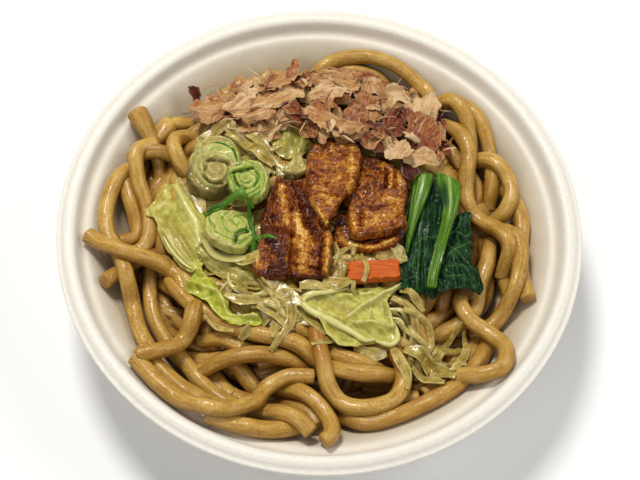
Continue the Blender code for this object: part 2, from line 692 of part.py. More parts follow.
def flake_shape(draw, middle, mat, clear):
    """One thin shaving of bonito, set into the mat at a slant, with torn corners."""
    length, width = draw.uniform(13, 20), draw.uniform(9, 14)
    heading, slant, twist = draw.uniform(0, 2 * math.pi), draw.uniform(-0.3, 0.3), draw.uniform(-0.25, 0.25)
    u, v = np.meshgrid(np.linspace(-0.5, 0.5, 3), np.linspace(-0.5, 0.5, 3), indexing="ij")
    torn = 1 - 0.25 * (np.abs(u) > 0.4) * (np.abs(v) > 0.4) - draw.uniform(0, 0.25, u.shape)
    along, across = u * torn * length, v * torn * width
    x = middle[0] + along * math.cos(heading) - across * math.sin(heading)
    y = middle[1] + along * math.sin(heading) + across * math.cos(heading)
    rise = slant * along + twist * across + draw.uniform(0.05, 0.2) * width * (2 * v) ** 2
    low = np.maximum(mat.at(x, y) - 0.6 * FLAKE_THICKNESS + rise, clear.at(x, y) + GAP)
    return skin(x, y, low, low + FLAKE_THICKNESS)


def make_bonito(food, finish):
    """The heap of bonito flakes: a thin mat draped over the back of the food, with flakes fused on."""
    draw = np.random.default_rng(SEED)
    corners = ((-8, 30), (6, 26), (22, 27), (32, 22), (42, 28), (44, 44), (38, 56), (22, 62), (6, 63),
               (-12, 65), (-30, 65), (-44, 58), (-54, 50), (-48, 38), (-34, 36), (-22, 38))
    outline = closed_outline(corners, 24)
    clear = food.top.highest(7)
    shares = (1.0, 0.8, 0.56, 0.28)
    low, high = [], []
    for share in shares:
        x, y = shrunk(outline, share).T
        bottom = clear.at(x, y) + GAP
        low.append(np.stack([x, y, bottom], axis=1))
        high.append(np.stack([x, y, bottom + MAT_HEIGHT * (1 if share < 1 else 0.5)], axis=1))
    mat = loft(low[::-1] + high)
    top = HeightMap(food.top.heights)
    top.take(*mat)
    top = top.highest(2)
    clear = food.top.highest(2)
    flakes = []
    for k in range(FLAKES):
        share = math.sqrt((k + 0.5) / FLAKES)
        spot = shrunk(outline, 0.92 * share)[(k * 11) % len(outline)]
        flakes.append(flake_shape(draw, spot, top, clear))
    bonito = fuse("bonito_flakes", mat, flakes, finish)
    for shape in [mat] + flakes:
        food.top.take(*shape)
        food.underside.take(*shape, below=True)
    return bonito


# The bean sprouts, tangle by tangle, each sprout across one before it
SPROUTS = {
    "sprouts_back_left": (
        ((-36, 34), (-28, 32), (-20, 26), (-16, 20)),
        ((-34, 29), (-27, 26), (-20, 28), (-14, 30)),
        ((-29, 34), (-25, 30), (-22, 23), (-17, 18)),
        ((-36, 31), (-30, 28), (-24, 25), (-19, 20)),
    ),
    "sprouts_front_left": (
        ((-24, -26), (-16, -27), (-9, -31), (-5, -38)),
        ((-26, -31), (-19, -30), (-12, -27), (-5, -28)),
        ((-20, -25), (-14, -31), (-12, -38), (-14, -46)),
        ((-22, -35), (-15, -33), (-8, -34), (-4, -30)),
        ((-28, -28), (-20, -33), (-13, -35), (-7, -42)),
    ),
    "sprouts_front_right": (
        ((26, -29), (33, -33), (35, -41), (33, -48), (36, -54)),
        ((28, -37), (36, -42), (43, -47), (52, -50)),
        ((33, -49), (40, -46), (46, -40), (51, -34)),
        ((30, -33), (38, -36), (40, -43), (36, -51), (44, -56)),
        ((41, -56), (42, -49), (46, -43), (53, -42)),
    ),
    "sprouts_middle": (
        ((4, -9), (8, -13), (16, -14), (24, -12), (31, -13)),
        ((5, -15), (9, -11), (12, -9), (12, -14)),
    ),
}


def main():
    for old in list(bpy.data.objects):
        bpy.data.objects.remove(old)
    foam = material("tray_foam", (0.86, 0.84, 0.79), 0.55)
    udon = material("udon", (0.62, 0.36, 0.11), 0.35)
    pork = material("pork", (0.33, 0.12, 0.03), 0.3)
    carrot = material("carrot", (0.85, 0.16, 0.02), 0.35)
    leaf_green = material("leaf_green", (0.01, 0.07, 0.03), 0.3)
    stem_green = material("stem_green", (0.15, 0.42, 0.03), 0.3)
    cabbage = material("cabbage", (0.58, 0.6, 0.16), 0.35)
    leek = material("leek", (0.48, 0.6, 0.2), 0.35)
    sprout = material("sprout", (0.6, 0.52, 0.28), 0.3)
    flake = material("bonito", (0.55, 0.27, 0.16), 0.6)

    food = Food()
    make_tray(foam)
    add_cabbage(food, cabbage)
    add_greens(food, leaf_green, stem_green)
    add_pork(food, pork)
    add_carrot(food, carrot)
    add_leek(food, leek)
    make_bonito(food, flake)
    make_noodles(food, udon)
    for name, routes in SPROUTS.items():
        make_sprouts(food, name, routes, sprout)


main()
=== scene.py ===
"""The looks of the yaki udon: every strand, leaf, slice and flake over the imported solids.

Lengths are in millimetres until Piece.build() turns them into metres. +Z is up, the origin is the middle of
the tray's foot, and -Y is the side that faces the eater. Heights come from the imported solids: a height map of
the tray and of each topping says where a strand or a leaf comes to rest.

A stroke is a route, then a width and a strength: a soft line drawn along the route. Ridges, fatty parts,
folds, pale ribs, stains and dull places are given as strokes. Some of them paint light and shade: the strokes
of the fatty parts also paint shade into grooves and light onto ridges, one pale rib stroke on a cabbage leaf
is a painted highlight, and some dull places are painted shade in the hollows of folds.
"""

import math

import bpy
import numpy as np
from mathutils import Matrix, Vector
from mathutils.bvhtree import BVHTree
from mathutils.geometry import delaunay_2d_cdt


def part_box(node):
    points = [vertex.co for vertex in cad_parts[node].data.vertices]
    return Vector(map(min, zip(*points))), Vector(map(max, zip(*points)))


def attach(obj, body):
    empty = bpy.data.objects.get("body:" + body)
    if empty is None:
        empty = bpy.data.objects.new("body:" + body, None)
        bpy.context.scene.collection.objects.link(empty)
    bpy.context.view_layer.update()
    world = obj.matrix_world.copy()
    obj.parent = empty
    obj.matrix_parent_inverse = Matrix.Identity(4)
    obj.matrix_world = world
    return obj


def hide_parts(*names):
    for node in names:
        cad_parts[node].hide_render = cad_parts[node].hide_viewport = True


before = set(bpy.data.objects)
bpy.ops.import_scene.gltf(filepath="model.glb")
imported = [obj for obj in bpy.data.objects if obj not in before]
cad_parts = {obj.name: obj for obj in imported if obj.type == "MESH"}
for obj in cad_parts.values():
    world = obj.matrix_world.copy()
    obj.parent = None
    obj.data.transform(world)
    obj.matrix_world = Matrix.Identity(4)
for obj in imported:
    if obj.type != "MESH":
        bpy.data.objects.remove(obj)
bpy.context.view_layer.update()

MM = 0.001
SEED = 6

# The height maps: how far apart their points are, how far they reach, and the height that stands for none
GRID_STEP = 0.5
GRID_HALF = 96.0
NOTHING = 1000.0

# How many points a solid's heights are carried on past its edge
CARRY_STEPS = 44

# A slice's plane is found by this many rays each way, where its underside is at least this flat
PLANE_PROBES = 12
FLAT_UNDERSIDE = 0.9

# The tray's profile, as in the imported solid
RIM_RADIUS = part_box("tray")[1].x / MM
RIM_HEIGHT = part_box("tray")[1].z / MM
LEDGE_RADIUS = RIM_RADIUS - 10.8
LEDGE_HEIGHT = RIM_HEIGHT - 5.8
FLOOR_RADIUS = 52.0
FLOOR_HEIGHT = 2.4
WALL = 1.6
TRAY_STEPS = 288

# The noodle bed: a dome under the toppings and a lower ring round it, heaped towards the back left. The core
# stands lower than the bed, which ends where it comes this close to the tray.
DOME_HEIGHT = 35.0
DOME_CENTRE = (-1.0, 5.0)
DOME_RADIUS = 66.0
DOME_TOP_SHARE = 0.68
RING_HEIGHT = 23.0
RING_SLOPE = 0.045
LOW_SIDE = (0.6, -0.8)
CORE_DROP = 6.0
BED_END = 2.5

# The noodles. They are laid with a radius of their own, pressed into what is below, and kept a gap away from
# the tray and the toppings. A sunk end goes down over the length of the run. The fillers are laid first.
NOODLE_RADIUS = 2.75
LAID_RADIUS = 2.7
NOODLE_PRESS = 0.8
SINK_RUN = 11.0
GAP = 0.4
FILLERS = 8

# The noodles below them. Those on top hold them down, as if they had the radius for it, and so does the bed,
# over which their tops rise no more than this.
UNDER_NOODLES = 165
UNDER_PRESS = 1.0
UNDER_RISE = 2.2
HOLDING_RADIUS = 2.2

# A line with no more points than this, about a millimetre apart, is too short for a noodle
SHORTEST_LINE = 12

# The one noodle's end that is swollen: by how much, and where it is
SWELLING = 0.4
SWOLLEN_BEHIND = 33.0
SWOLLEN_LEFT_OF = -58.0

FREE, SUNK = "free", "sunk"


# ---------------------------------------------------------------- numbers


def smoothstep(t):
    """An eased rise from 0 to 1."""
    t = np.clip(t, 0, 1)
    return t * t * (3 - 2 * t)


def grain(points, size, seed=0.0):
    """Smooth random values from -1 to 1 at these places, with lumps about size apart."""
    spots = np.asarray(points, float) / size + 37.3 + 11.7 * seed
    cell = np.floor(spots)
    share = smoothstep(spots - cell)
    weights = np.array((127.1, 311.7, 74.7))[: spots.shape[-1]]
    total = np.zeros(spots.shape[:-1])
    for corner in np.ndindex(*(2,) * spots.shape[-1]):
        step = np.array(corner)
        pull = np.prod(np.where(step, share, 1 - share), axis=-1)
        drawn = np.sin((cell + step) @ weights) * 43758.5453
        total += pull * (drawn - np.floor(drawn))
    return 2 * total - 1


def moving(values, reach, pick):
    """The pick, such as the largest, of each value and its neighbours within reach."""
    padded = np.pad(values, reach, mode="edge")
    return pick([padded[k : k + len(values)] for k in range(2 * reach + 1)], axis=0)


def longest_run(wanted):
    """The slice that spans the most neighbours that are all true."""
    edges = np.flatnonzero(np.diff(np.concatenate([[0], wanted.astype(int), [0]])))
    starts, stops = edges[::2], edges[1::2]
    if len(starts) == 0:
        return slice(0, 0)
    best = (stops - starts).argmax()
    return slice(starts[best], stops[best])


def spread(values, count):
    """This many numbers that run evenly through the given ones."""
    return np.interp(np.linspace(0, 1, count), np.linspace(0, 1, len(values)), values)


def ways(angle):
    """The directions along and across an angle in radians."""
    along = np.array([math.cos(angle), math.sin(angle)])
    return along, np.array([-along[1], along[0]])


# ---------------------------------------------------------------- lines


def distances(line):
    """How far each point of a line is from its start, along it."""
    return np.concatenate([[0], np.cumsum(np.linalg.norm(np.diff(line, axis=0), axis=1))])


def evenly(line, step, closed=False):
    """The same line with points about a step apart."""
    along = distances(line)
    count = max(2, round(along[-1] / step))
    at = np.linspace(0, along[-1], count + 1)[: count if closed else None]
    return np.stack([np.interp(at, along, line[:, axis]) for axis in range(line.shape[1])], axis=1)


def smooth_route(points, step, closed=False):
    """Points about a step apart on a Catmull-Rom curve through the given ones."""
    points = np.asarray(points, float)
    if closed:
        padded = np.concatenate([points[-1:], points, points[:2]])
    else:
        first, last = 2 * points[0] - points[1], 2 * points[-1] - points[-2]
        padded = np.concatenate([[first], points, [last]])
    fine = []
    for k in range(1, len(padded) - 2):
        p0, p1, p2, p3 = padded[k - 1 : k + 3]
        for t in np.linspace(0, 1, 16, endpoint=False):
            fine.append(0.5 * (2 * p1 + (p2 - p0) * t + (2 * p0 - 5 * p1 + 4 * p2 - p3) * t**2
                               + (3 * p1 - p0 - 3 * p2 + p3) * t**3))
    if not closed:
        fine.append(padded[-2])
    return evenly(np.array(fine + fine[:1] if closed else fine), step, closed)


def line_distance(spots, line):
    """How far each place is from a line."""
    start, way = line[:-1], np.diff(line, axis=0)
    off = spots[:, None] - start
    share = np.clip((off * way).sum(axis=2) / np.maximum((way**2).sum(axis=1), 1e-9), 0, 1)
    return np.linalg.norm(off - share[..., None] * way, axis=2).min(axis=1)


def edge_distance(spots, outline):
    """How far each place is from an outline."""
    return line_distance(spots, np.concatenate([outline, outline[:1]]))


def strokes(x, y, drawn):
    """The sum of soft strokes, each through its places, with a width and a strength."""
    total = np.zeros(np.shape(x))
    spots = np.column_stack([x, y])
    for *route, width, strength in drawn:
        line = np.array(route, float) if len(route) == 2 else smooth_route(route, 1.0)
        total += strength * np.exp(-((line_distance(spots, line) / width) ** 2))
    return total


def closed_outline(corners, step, ragged=0.0, size=3.0):
    """A rounded outline through the corners, given counterclockwise, with an uneven edge."""
    outline = smooth_route(corners, step, closed=True)
    ahead = np.roll(outline, -1, axis=0) - np.roll(outline, 1, axis=0)
    out = np.column_stack([ahead[:, 1], -ahead[:, 0]]) / np.linalg.norm(ahead, axis=1)[:, None]
    return outline + out * (ragged * grain(outline, size))[:, None]


# ---------------------------------------------------------------- heights


def rays_for(points, faces):
    """A shape made ready for rays to be cast at it."""
    return BVHTree.FromPolygons([Vector(p) for p in points], faces)


class Heap:
    """Heights over the tray on a square grid, one number for each point."""

    axis = np.arange(-GRID_HALF, GRID_HALF + GRID_STEP / 2, GRID_STEP)
    x, y = np.meshgrid(axis, axis, indexing="ij")

    def __init__(self, heights):
        self.heights = np.array(np.broadcast_to(heights, self.x.shape), float)

    def at(self, x, y):
        """Height between grid points."""
        u = np.clip((np.asarray(x, float) + GRID_HALF) / GRID_STEP, 0, len(self.axis) - 1.001)
        v = np.clip((np.asarray(y, float) + GRID_HALF) / GRID_STEP, 0, len(self.axis) - 1.001)
        i, j = u.astype(int), v.astype(int)
        s, t = u - i, v - j
        h = self.heights
        return ((1 - s) * (1 - t) * h[i, j] + s * (1 - t) * h[i + 1, j]
                + (1 - s) * t * h[i, j + 1] + s * t * h[i + 1, j + 1])

    def window(self, x, y, reach):
        """The grid points within reach of each place, and how far they are from it."""
        cells = int(reach / GRID_STEP) + 1
        di, dj = np.mgrid[-cells : cells + 1, -cells : cells + 1].reshape(2, -1)
        near = np.hypot(di, dj) * GRID_STEP <= reach
        di, dj = di[near], dj[near]
        u = np.round((np.ravel(x) + GRID_HALF) / GRID_STEP).astype(int)[:, None] + di
        v = np.round((np.ravel(y) + GRID_HALF) / GRID_STEP).astype(int)[:, None] + dj
        top = len(self.axis) - 1
        return np.clip(u, 0, top), np.clip(v, 0, top), np.hypot(di, dj) * GRID_STEP

    def ball(self, x, y, radius):
        """The grid points that a ball at each place covers, and how far it bulges up and down there."""
        u, v, away = self.window(x, y, radius)
        return u, v, np.sqrt(np.maximum(radius**2 - away**2, 0))

    def rest(self, x, y, radius, below=False):
        """Where a ball's centre comes to rest on the heights, or is stopped below them."""
        u, v, rise = self.ball(x, y, radius)
        found = (self.heights[u, v] - rise).min(axis=1) if below else (self.heights[u, v] + rise).max(axis=1)
        return found.reshape(np.shape(x))

    def mean(self, x, y, reach):
        """The mean of the heights within reach of each place."""
        u, v, _ = self.window(x, y, reach)
        return self.heights[u, v].mean(axis=1).reshape(np.shape(x))

    def cover(self, line, radius, below=False):
        """Raises the heights to a strand's top, or lowers them to its underside."""
        for x, y, z in line:
            u, v, rise = self.ball(x, y, radius)
            if below:
                self.heights[u, v] = np.minimum(self.heights[u, v], z - rise)
            else:
                self.heights[u, v] = np.maximum(self.heights[u, v], z + rise)

    def take(self, points, faces, below=False):
        """Raises the heights to the top of a closed shape, or lowers them to its underside."""
        points = np.asarray(points)
        tree = rays_for(points, faces)
        low, high = points.min(axis=0), points.max(axis=0)
        start = low[2] - 5 if below else high[2] + 5
        towards = Vector((0, 0, 1 if below else -1))
        best = min if below else max
        spots = [np.nonzero((self.axis >= low[k] - GRID_STEP) & (self.axis <= high[k] + GRID_STEP))[0]
                 for k in (0, 1)]
        for i in spots[0]:
            for j in spots[1]:
                hit = tree.ray_cast(Vector((self.axis[i], self.axis[j], start)), towards)[0]
                if hit is not None:
                    self.heights[i, j] = best(self.heights[i, j], hit.z)


def solid(node):
    """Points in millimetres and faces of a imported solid."""
    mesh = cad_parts[node].data
    points = np.zeros(len(mesh.vertices) * 3, np.float32)
    mesh.vertices.foreach_get("co", points)
    return points.reshape(-1, 3).astype(float) / MM, [tuple(face.vertices) for face in mesh.polygons]


def surface(node):
    """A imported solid's top as a height map, carried on past its edge by its nearest heights."""
    found = Heap(-NOTHING)
    found.take(*solid(node))
    h = found.heights
    for _ in range(CARRY_STEPS):
        near = [np.roll(h, step, axis=axis) for step in (1, -1) for axis in (0, 1)]
        known = [np.abs(n) < NOTHING for n in near]
        count = np.sum(known, axis=0)
        total = np.sum([np.where(k, n, 0) for k, n in zip(known, near)], axis=0)
        h = np.where((np.abs(h) >= NOTHING) & (count > 0), total / np.maximum(count, 1), h)
    found.heights = h
    return found


def resting_plane(node):
    """The plane that a stiff slice lies on, as a function of the place."""
    points, faces = solid(node)
    tree = rays_for(points, faces)
    low, high = points.min(axis=0), points.max(axis=0)
    hits = []
    for x in np.linspace(low[0], high[0], PLANE_PROBES):
        for y in np.linspace(low[1], high[1], PLANE_PROBES):
            hit, normal = tree.ray_cast(Vector((x, y, low[2] - 5)), Vector((0, 0, 1)))[:2]
            if hit is not None and normal.z < -FLAT_UNDERSIDE:
                hits.append(hit)
    hits = np.array(hits)
    a, b, c = np.linalg.lstsq(np.column_stack([hits[:, :2], np.ones(len(hits))]), hits[:, 2], rcond=None)[0]
    return lambda x, y: a * x + b * y + c


# ---------------------------------------------------------------- shapes


class Piece:
    """A mesh put together from closed shapes, with numbers for its material at each point."""

    def __init__(self):
        self.points, self.faces, self.marks, self.count = [], [], {}, 0

    def add(self, points, faces, **marks):
        """Adds a closed shape. A mark that it doesn't give is 0 at its points."""
        points = np.asarray(points, float)
        self.points.append(points)
        self.faces += [tuple(i + self.count for i in face) for face in faces]
        for name in set(self.marks) | set(marks):
            values = np.broadcast_to(marks.get(name, 0.0), len(points))
            self.marks.setdefault(name, [np.zeros(self.count)]).append(values)
        self.count += len(points)

    def build(self, name, finish, nodes, angle=60):
        """Makes the mesh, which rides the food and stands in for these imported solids."""
        mesh = bpy.data.meshes.new(name)
        mesh.from_pydata((np.concatenate(self.points) * MM).tolist(), [], self.faces)
        mesh.update()
        mesh.materials.append(finish)
        for mark, values in self.marks.items():
            made = mesh.attributes.new(mark, "FLOAT", "POINT")
            made.data.foreach_set("value", np.concatenate(values).astype(np.float32))
        mesh.shade_smooth()
        mesh.set_sharp_from_angle(angle=math.radians(angle))
        piece = bpy.data.objects.new(name, mesh)
        bpy.context.scene.collection.objects.link(piece)
        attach(piece, "root")
        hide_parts(*nodes)


def loft(loops):
    """Points and faces of the skin over loops of equal length, its two ends closed by fans."""
    loops = np.array(loops, float)
    rings, count = loops.shape[:2]
    grid = np.arange(rings * count).reshape(rings, count)
    a, b = grid[:-1], np.roll(grid, -1, axis=1)[:-1]
    c, d = np.roll(grid, -1, axis=1)[1:], grid[1:]
    faces = np.stack([a, b, c, d], axis=2).reshape(-1, 4).tolist()
    bottom, top = rings * count, rings * count + 1
    last = (rings - 1) * count
    for i in range(count):
        j = (i + 1) % count
        faces += [(j, i, bottom), (last + i, last + j, top)]
    points = np.concatenate([loops.reshape(-1, 3), loops[[0, -1]].mean(axis=1)])
    return points, faces


def axes(line):
    """The directions ahead, to the left and upwards at each point of a line."""
    ahead = np.gradient(line, axis=0)
    ahead /= np.linalg.norm(ahead, axis=1)[:, None]
    left = np.cross((0, 0, 1.0), ahead)
    left /= np.linalg.norm(left, axis=1)[:, None]
    return ahead, left, np.cross(ahead, left)


def strand(line, radii, sides, flatten=1.0, square=2.0, twist=0.0, blunt=True):
    """A closed round tube along a line. square above 2 makes it boxier, twist turns that section, in radians.

    Also how far each point is along the strand and round it, both in millimetres.
    """
    radii = np.broadcast_to(radii, len(line)).astype(float)
    ahead, across, above = axes(line)
    turn = 2 * math.pi * np.arange(sides) / sides
    twist = np.broadcast_to(twist, len(line))
    # three rings close each end: where they stand and how wide they are, as shares of the radius
    ends = ((0.0, 0.80), (0.08, 0.93), (0.26, 1.0)) if blunt else ((0.0, 0.35), (0.35, 0.75), (1.0, 1.0))
    places = [(0, share, size) for share, size in ends]
    places += [(k, 0.0, 1.0) for k in range(1, len(line) - 1)]
    places += [(len(line) - 1, -share, size) for share, size in reversed(ends)]
    loops, along = [], []
    run = distances(line)
    for k, share, size in places:
        angle = turn - twist[k]
        reach = (np.abs(np.cos(angle)) ** square + np.abs(np.sin(angle)) ** square) ** (-1 / square)
        radius = radii[k] * size
        centre = line[k] + ahead[k] * share * radii[k]
        loops.append(centre + radius * (np.outer(np.cos(turn) * reach, across[k])
                                        + flatten * np.outer(np.sin(turn) * reach, above[k])))
        along.append(run[k] + share * radii[k])
    points, faces = loft(loops)
    along = np.concatenate([np.repeat(along, sides), [along[0], along[-1]]])
    around = np.concatenate([np.tile(turn, len(places)), [0, 0]]) * np.mean(radii)
    return points, faces, along, around


def ribbon(line, left, right, thickness, curl=0.0, roll=0.0, across=6):
    """A closed thin strip along a line, with half widths to its left and right, in millimetres.

    curl lifts its edges, as a share of their distance squared; roll turns it about the line, in radians.
    Also how far each point is along the strip and across it, and its share of the way to the edge.
    """
    count = len(line)
    left, right, curl, roll = (np.broadcast_to(v, count).astype(float) for v in (left, right, curl, roll))
    _, side, above = axes(line)
    side, above = (side * np.cos(roll)[:, None] + above * np.sin(roll)[:, None],
                   above * np.cos(roll)[:, None] - side * np.sin(roll)[:, None])
    share = np.linspace(-1, 1, across + 1)
    places = np.where(share < 0, share * right[:, None], share * left[:, None])
    rise = curl[:, None] * places**2
    swell = 0.5 * thickness * np.sqrt(1 - (0.97 * share) ** 2)
    flat = line[:, None] + side[:, None] * places[..., None]
    upper, lower = (flat + above[:, None] * (rise + way * swell)[..., None] for way in (1, -1))
    points, faces = loft(np.concatenate([upper, lower[:, ::-1]], axis=1))
    run = distances(line)
    loop = 2 * across + 2
    along = np.append(np.repeat(run, loop), [run[0], run[-1]])
    around = np.append(np.concatenate([places, places[:, ::-1]], axis=1).ravel(), [0, 0])
    outward = np.append(np.tile(np.abs(np.concatenate([share, share[::-1]])), count), [0, 0])
    return points, faces, along, around, outward


def filled(outline, step):
    """Points and triangles that fill an outline evenly."""
    low, high = outline.min(axis=0), outline.max(axis=0)
    rows = []
    for k, y in enumerate(np.arange(low[1] + step / 2, high[1], step * 0.87)):
        xs = np.arange(low[0] + (k % 2) * step / 2, high[0], step)
        rows.append(np.column_stack([xs, np.full(len(xs), y)]))
    spots = np.concatenate(rows)
    # a spot is inside where a line from it to the right crosses the outline an odd number of times
    a, b = outline, np.roll(outline, -1, axis=0)
    x, y = spots[:, :1], spots[:, 1:]
    rise = np.where(b[:, 1] == a[:, 1], 1e-9, b[:, 1] - a[:, 1])
    crosses = ((a[:, 1] > y) != (b[:, 1] > y)) & (x < (b[:, 0] - a[:, 0]) * (y - a[:, 1]) / rise + a[:, 0])
    spots = spots[(crosses.sum(axis=1) % 2 == 1) & (edge_distance(spots, outline) > 0.55 * step)]
    verts = [Vector(p) for p in np.concatenate([outline, spots])]
    rim = [(i, (i + 1) % len(outline)) for i in range(len(outline))]
    points, _, faces = delaunay_2d_cdt(verts, rim, [], 1, 1e-5)[:3]
    points = np.array([tuple(p) for p in points])
    faces = np.array([tuple(face) for face in faces if len(face) == 3])
    p, q, r = points[faces[:, 0]], points[faces[:, 1]], points[faces[:, 2]]
    area = (q[:, 0] - p[:, 0]) * (r[:, 1] - p[:, 1]) - (q[:, 1] - p[:, 1]) * (r[:, 0] - p[:, 0])
    faces[area < 0] = faces[area < 0][:, ::-1]
    return points, faces


def sheet(outline, step, top, thick):
    """A closed sheet over an outline. Also each point's distance from that outline.

    top(x, y, edge) is its upper face's height and thick(x, y, edge) its thickness, where edge is how far a
    place is from the outline.
    """
    spots, faces = filled(outline, step)
    x, y = spots.T
    edge = edge_distance(spots, outline)
    high = top(x, y, edge)
    low = high - np.maximum(thick(x, y, edge), 0.05)
    count = len(spots)
    links = np.concatenate([faces[:, [0, 1]], faces[:, [1, 2]], faces[:, [2, 0]]])
    keys = {tuple(link) for link in links.tolist()}
    rim = [(a, b) for a, b in keys if (b, a) not in keys]
    skin = faces.tolist() + (faces[:, ::-1] + count).tolist()
    skin += [(b, a, a + count, b + count) for a, b in rim]
    points = np.concatenate([np.column_stack([x, y, high]), np.column_stack([x, y, low])])
    return points, skin, np.tile(edge, 2)


# ---------------------------------------------------------------- finishes


class Finish:
    """A Principled material, and the nodes that feed it. What a mesh marks at its points is read by name."""

    def __init__(self, name, roughness, **fixed):
        self.made = bpy.data.materials.new(name)
        self.made.use_nodes = True
        self.tree = self.made.node_tree
        self.shader = self.tree.nodes["Principled BSDF"]
        self.set(**{"Roughness": roughness, "Specular_IOR_Level": 0.28, **fixed})
        self.place = self.node("TexCoord").outputs["Object"]
        self.bumps = None

    def set(self, **values):
        """Sets the shader's inputs to values, or joins other nodes' outputs to them."""
        self.join(self.shader, values)

    def join(self, node, values):
        """The same for any node. _ stands for a space in an input's name, or comes before its number."""
        for name, value in values.items():
            socket = node.inputs[int(name[1:]) if name[0] == "_" else name.replace("_", " ")]
            if isinstance(value, bpy.types.NodeSocket):
                self.tree.links.new(value, socket)
            else:
                socket.default_value = value

    def node(self, kind, settings=None, **values):
        """A new node of this kind, with its settings and its inputs."""
        made = self.tree.nodes.new("ShaderNode" + kind)
        for name, value in (settings or {}).items():
            setattr(made, name, value)
        self.join(made, values)
        return made

    def mark(self, name):
        """What a mesh says at each point under this name."""
        return self.node("Attribute", {"attribute_name": name}).outputs["Fac"]

    def noise(self, size, detail=3.0, vector=None, distortion=0.0):
        """Noise from 0 to 1, with lumps of this size in millimetres or in the units of the vector."""
        scale = 1 / (size * MM) if vector is None else 1 / size
        return self.node("TexNoise", Vector=vector or self.place, Scale=scale, Detail=detail,
                         Distortion=distortion).outputs["Fac"]

    def math(self, how, a, b):
        """What comes of two values."""
        return self.node("Math", {"operation": how}, _0=a, _1=b).outputs[0]

    def total(self, first, *others):
        """The sum of values, each given with its weight."""
        made = self.math("MULTIPLY", *first)
        for part in others:
            made = self.math("ADD", made, self.math("MULTIPLY", *part))
        return made

    def swayed(self, value, *noises):
        """A value that each noise moves up and down, by the strength given with it."""
        for noise, strength in noises:
            sway = self.math("MULTIPLY", self.math("SUBTRACT", noise, 0.5), strength)
            value = self.math("ADD", value, sway)
        return value

    def lengthwise(self, stretch):
        """The mesh's own place along and round a strand, drawn out lengthwise and shifted by its tone."""
        along = self.math("MULTIPLY", self.mark("along"), 1 / stretch)
        shift = self.math("MULTIPLY", self.mark("tone"), 40.0)
        return self.node("CombineXYZ", X=along, Y=self.mark("around"), Z=shift).outputs[0]

    def ramp(self, value, *stops):
        """A colour for each value: stops are (value, colour)."""
        made = self.node("ValToRGB", Fac=value)
        points = made.color_ramp.elements
        for _ in range(len(stops) - 2):
            points.new(0.5)
        for point, (at, colour) in zip(points, stops):
            point.position = at
            point.color = (*colour, 1.0)
        return made.outputs["Color"]

    def between(self, value, low, high, to_low=0.0, to_high=1.0):
        """Where the value is between two others, moved to between two more."""
        return self.node("MapRange", Value=value, From_Min=low, From_Max=high, To_Min=to_low,
                         To_Max=to_high).outputs["Result"]

    def mix(self, share, a, b):
        """Colour a, going to b as the share goes to 1."""
        made = self.node("Mix", {"data_type": "RGBA"}, Factor=share)
        colours = [socket for socket in made.inputs if socket.type == "RGBA"]
        for socket, colour in zip(colours, (a, b)):
            if isinstance(colour, bpy.types.NodeSocket):
                self.tree.links.new(colour, socket)
            else:
                socket.default_value = (*colour, 1.0)
        return next(socket for socket in made.outputs if socket.type == "RGBA")

    def bump(self, height, depth, strength=1.0):
        """Bumps of this depth in millimetres, on top of those made before."""
        values = {"Height": height, "Distance": depth * MM, "Strength": strength}
        if self.bumps is not None:
            values["Normal"] = self.bumps
        self.bumps = self.node("Bump", **values).outputs["Normal"]
        self.set(Normal=self.bumps)

    def glints(self, size, depth):
        """Fine unevenness of the wet film, so that it breaks a highlight into small glints."""
        film = self.node("Bump", Height=self.noise(size, 2), Distance=depth * MM, Strength=1.0)
        self.set(Coat_Normal=film.outputs["Normal"])


def foam_finish():
    """White foam, with painted shade making it warmer and duller down the inner wall, and browner where the
    noodles
    touch it: a sauce stain, with painted shade and a painted reflection of the noodles.
    """
    f = Finish("foam", 0.42, Subsurface_Weight=0.05, Subsurface_Scale=0.002)
    height = f.node("SeparateXYZ", Vector=f.place).outputs["Z"]
    # the inner wall below the ledge is painted warmer and darker than the rim, as shade
    up = f.between(height, (LEDGE_HEIGHT - 6) * MM, (LEDGE_HEIGHT + 4) * MM)
    cells = f.noise(1.1, 2)
    cloudy = f.noise(9.0, 3)
    wall = f.ramp(cloudy, (0.3, (0.53, 0.435, 0.285)), (0.7, (0.61, 0.52, 0.36)))
    uneven = f.math("ADD", height, f.math("MULTIPLY", cloudy, 12 * MM))
    # a brown band low on the wall near the noodles: a sauce stain, with painted shade and a painted reflection
    # of them
    wet = f.between(uneven, 21 * MM, 31 * MM, 0.75, 0.0)
    stained = f.mix(wet, wall, (0.47, 0.29, 0.10))
    rim = f.ramp(cells, (0.3, (0.80, 0.765, 0.67)), (0.7, (0.86, 0.83, 0.745)))
    f.set(Base_Color=f.mix(f.math("MAXIMUM", up, f.mark("outside")), stained, rim))
    f.set(Roughness=f.between(cells, 0.3, 0.7, 0.32, 0.5))
    f.bump(cells, 0.05, 0.6)
    f.bump(f.noise(6.0, 3), 0.12, 0.5)
    return f.made


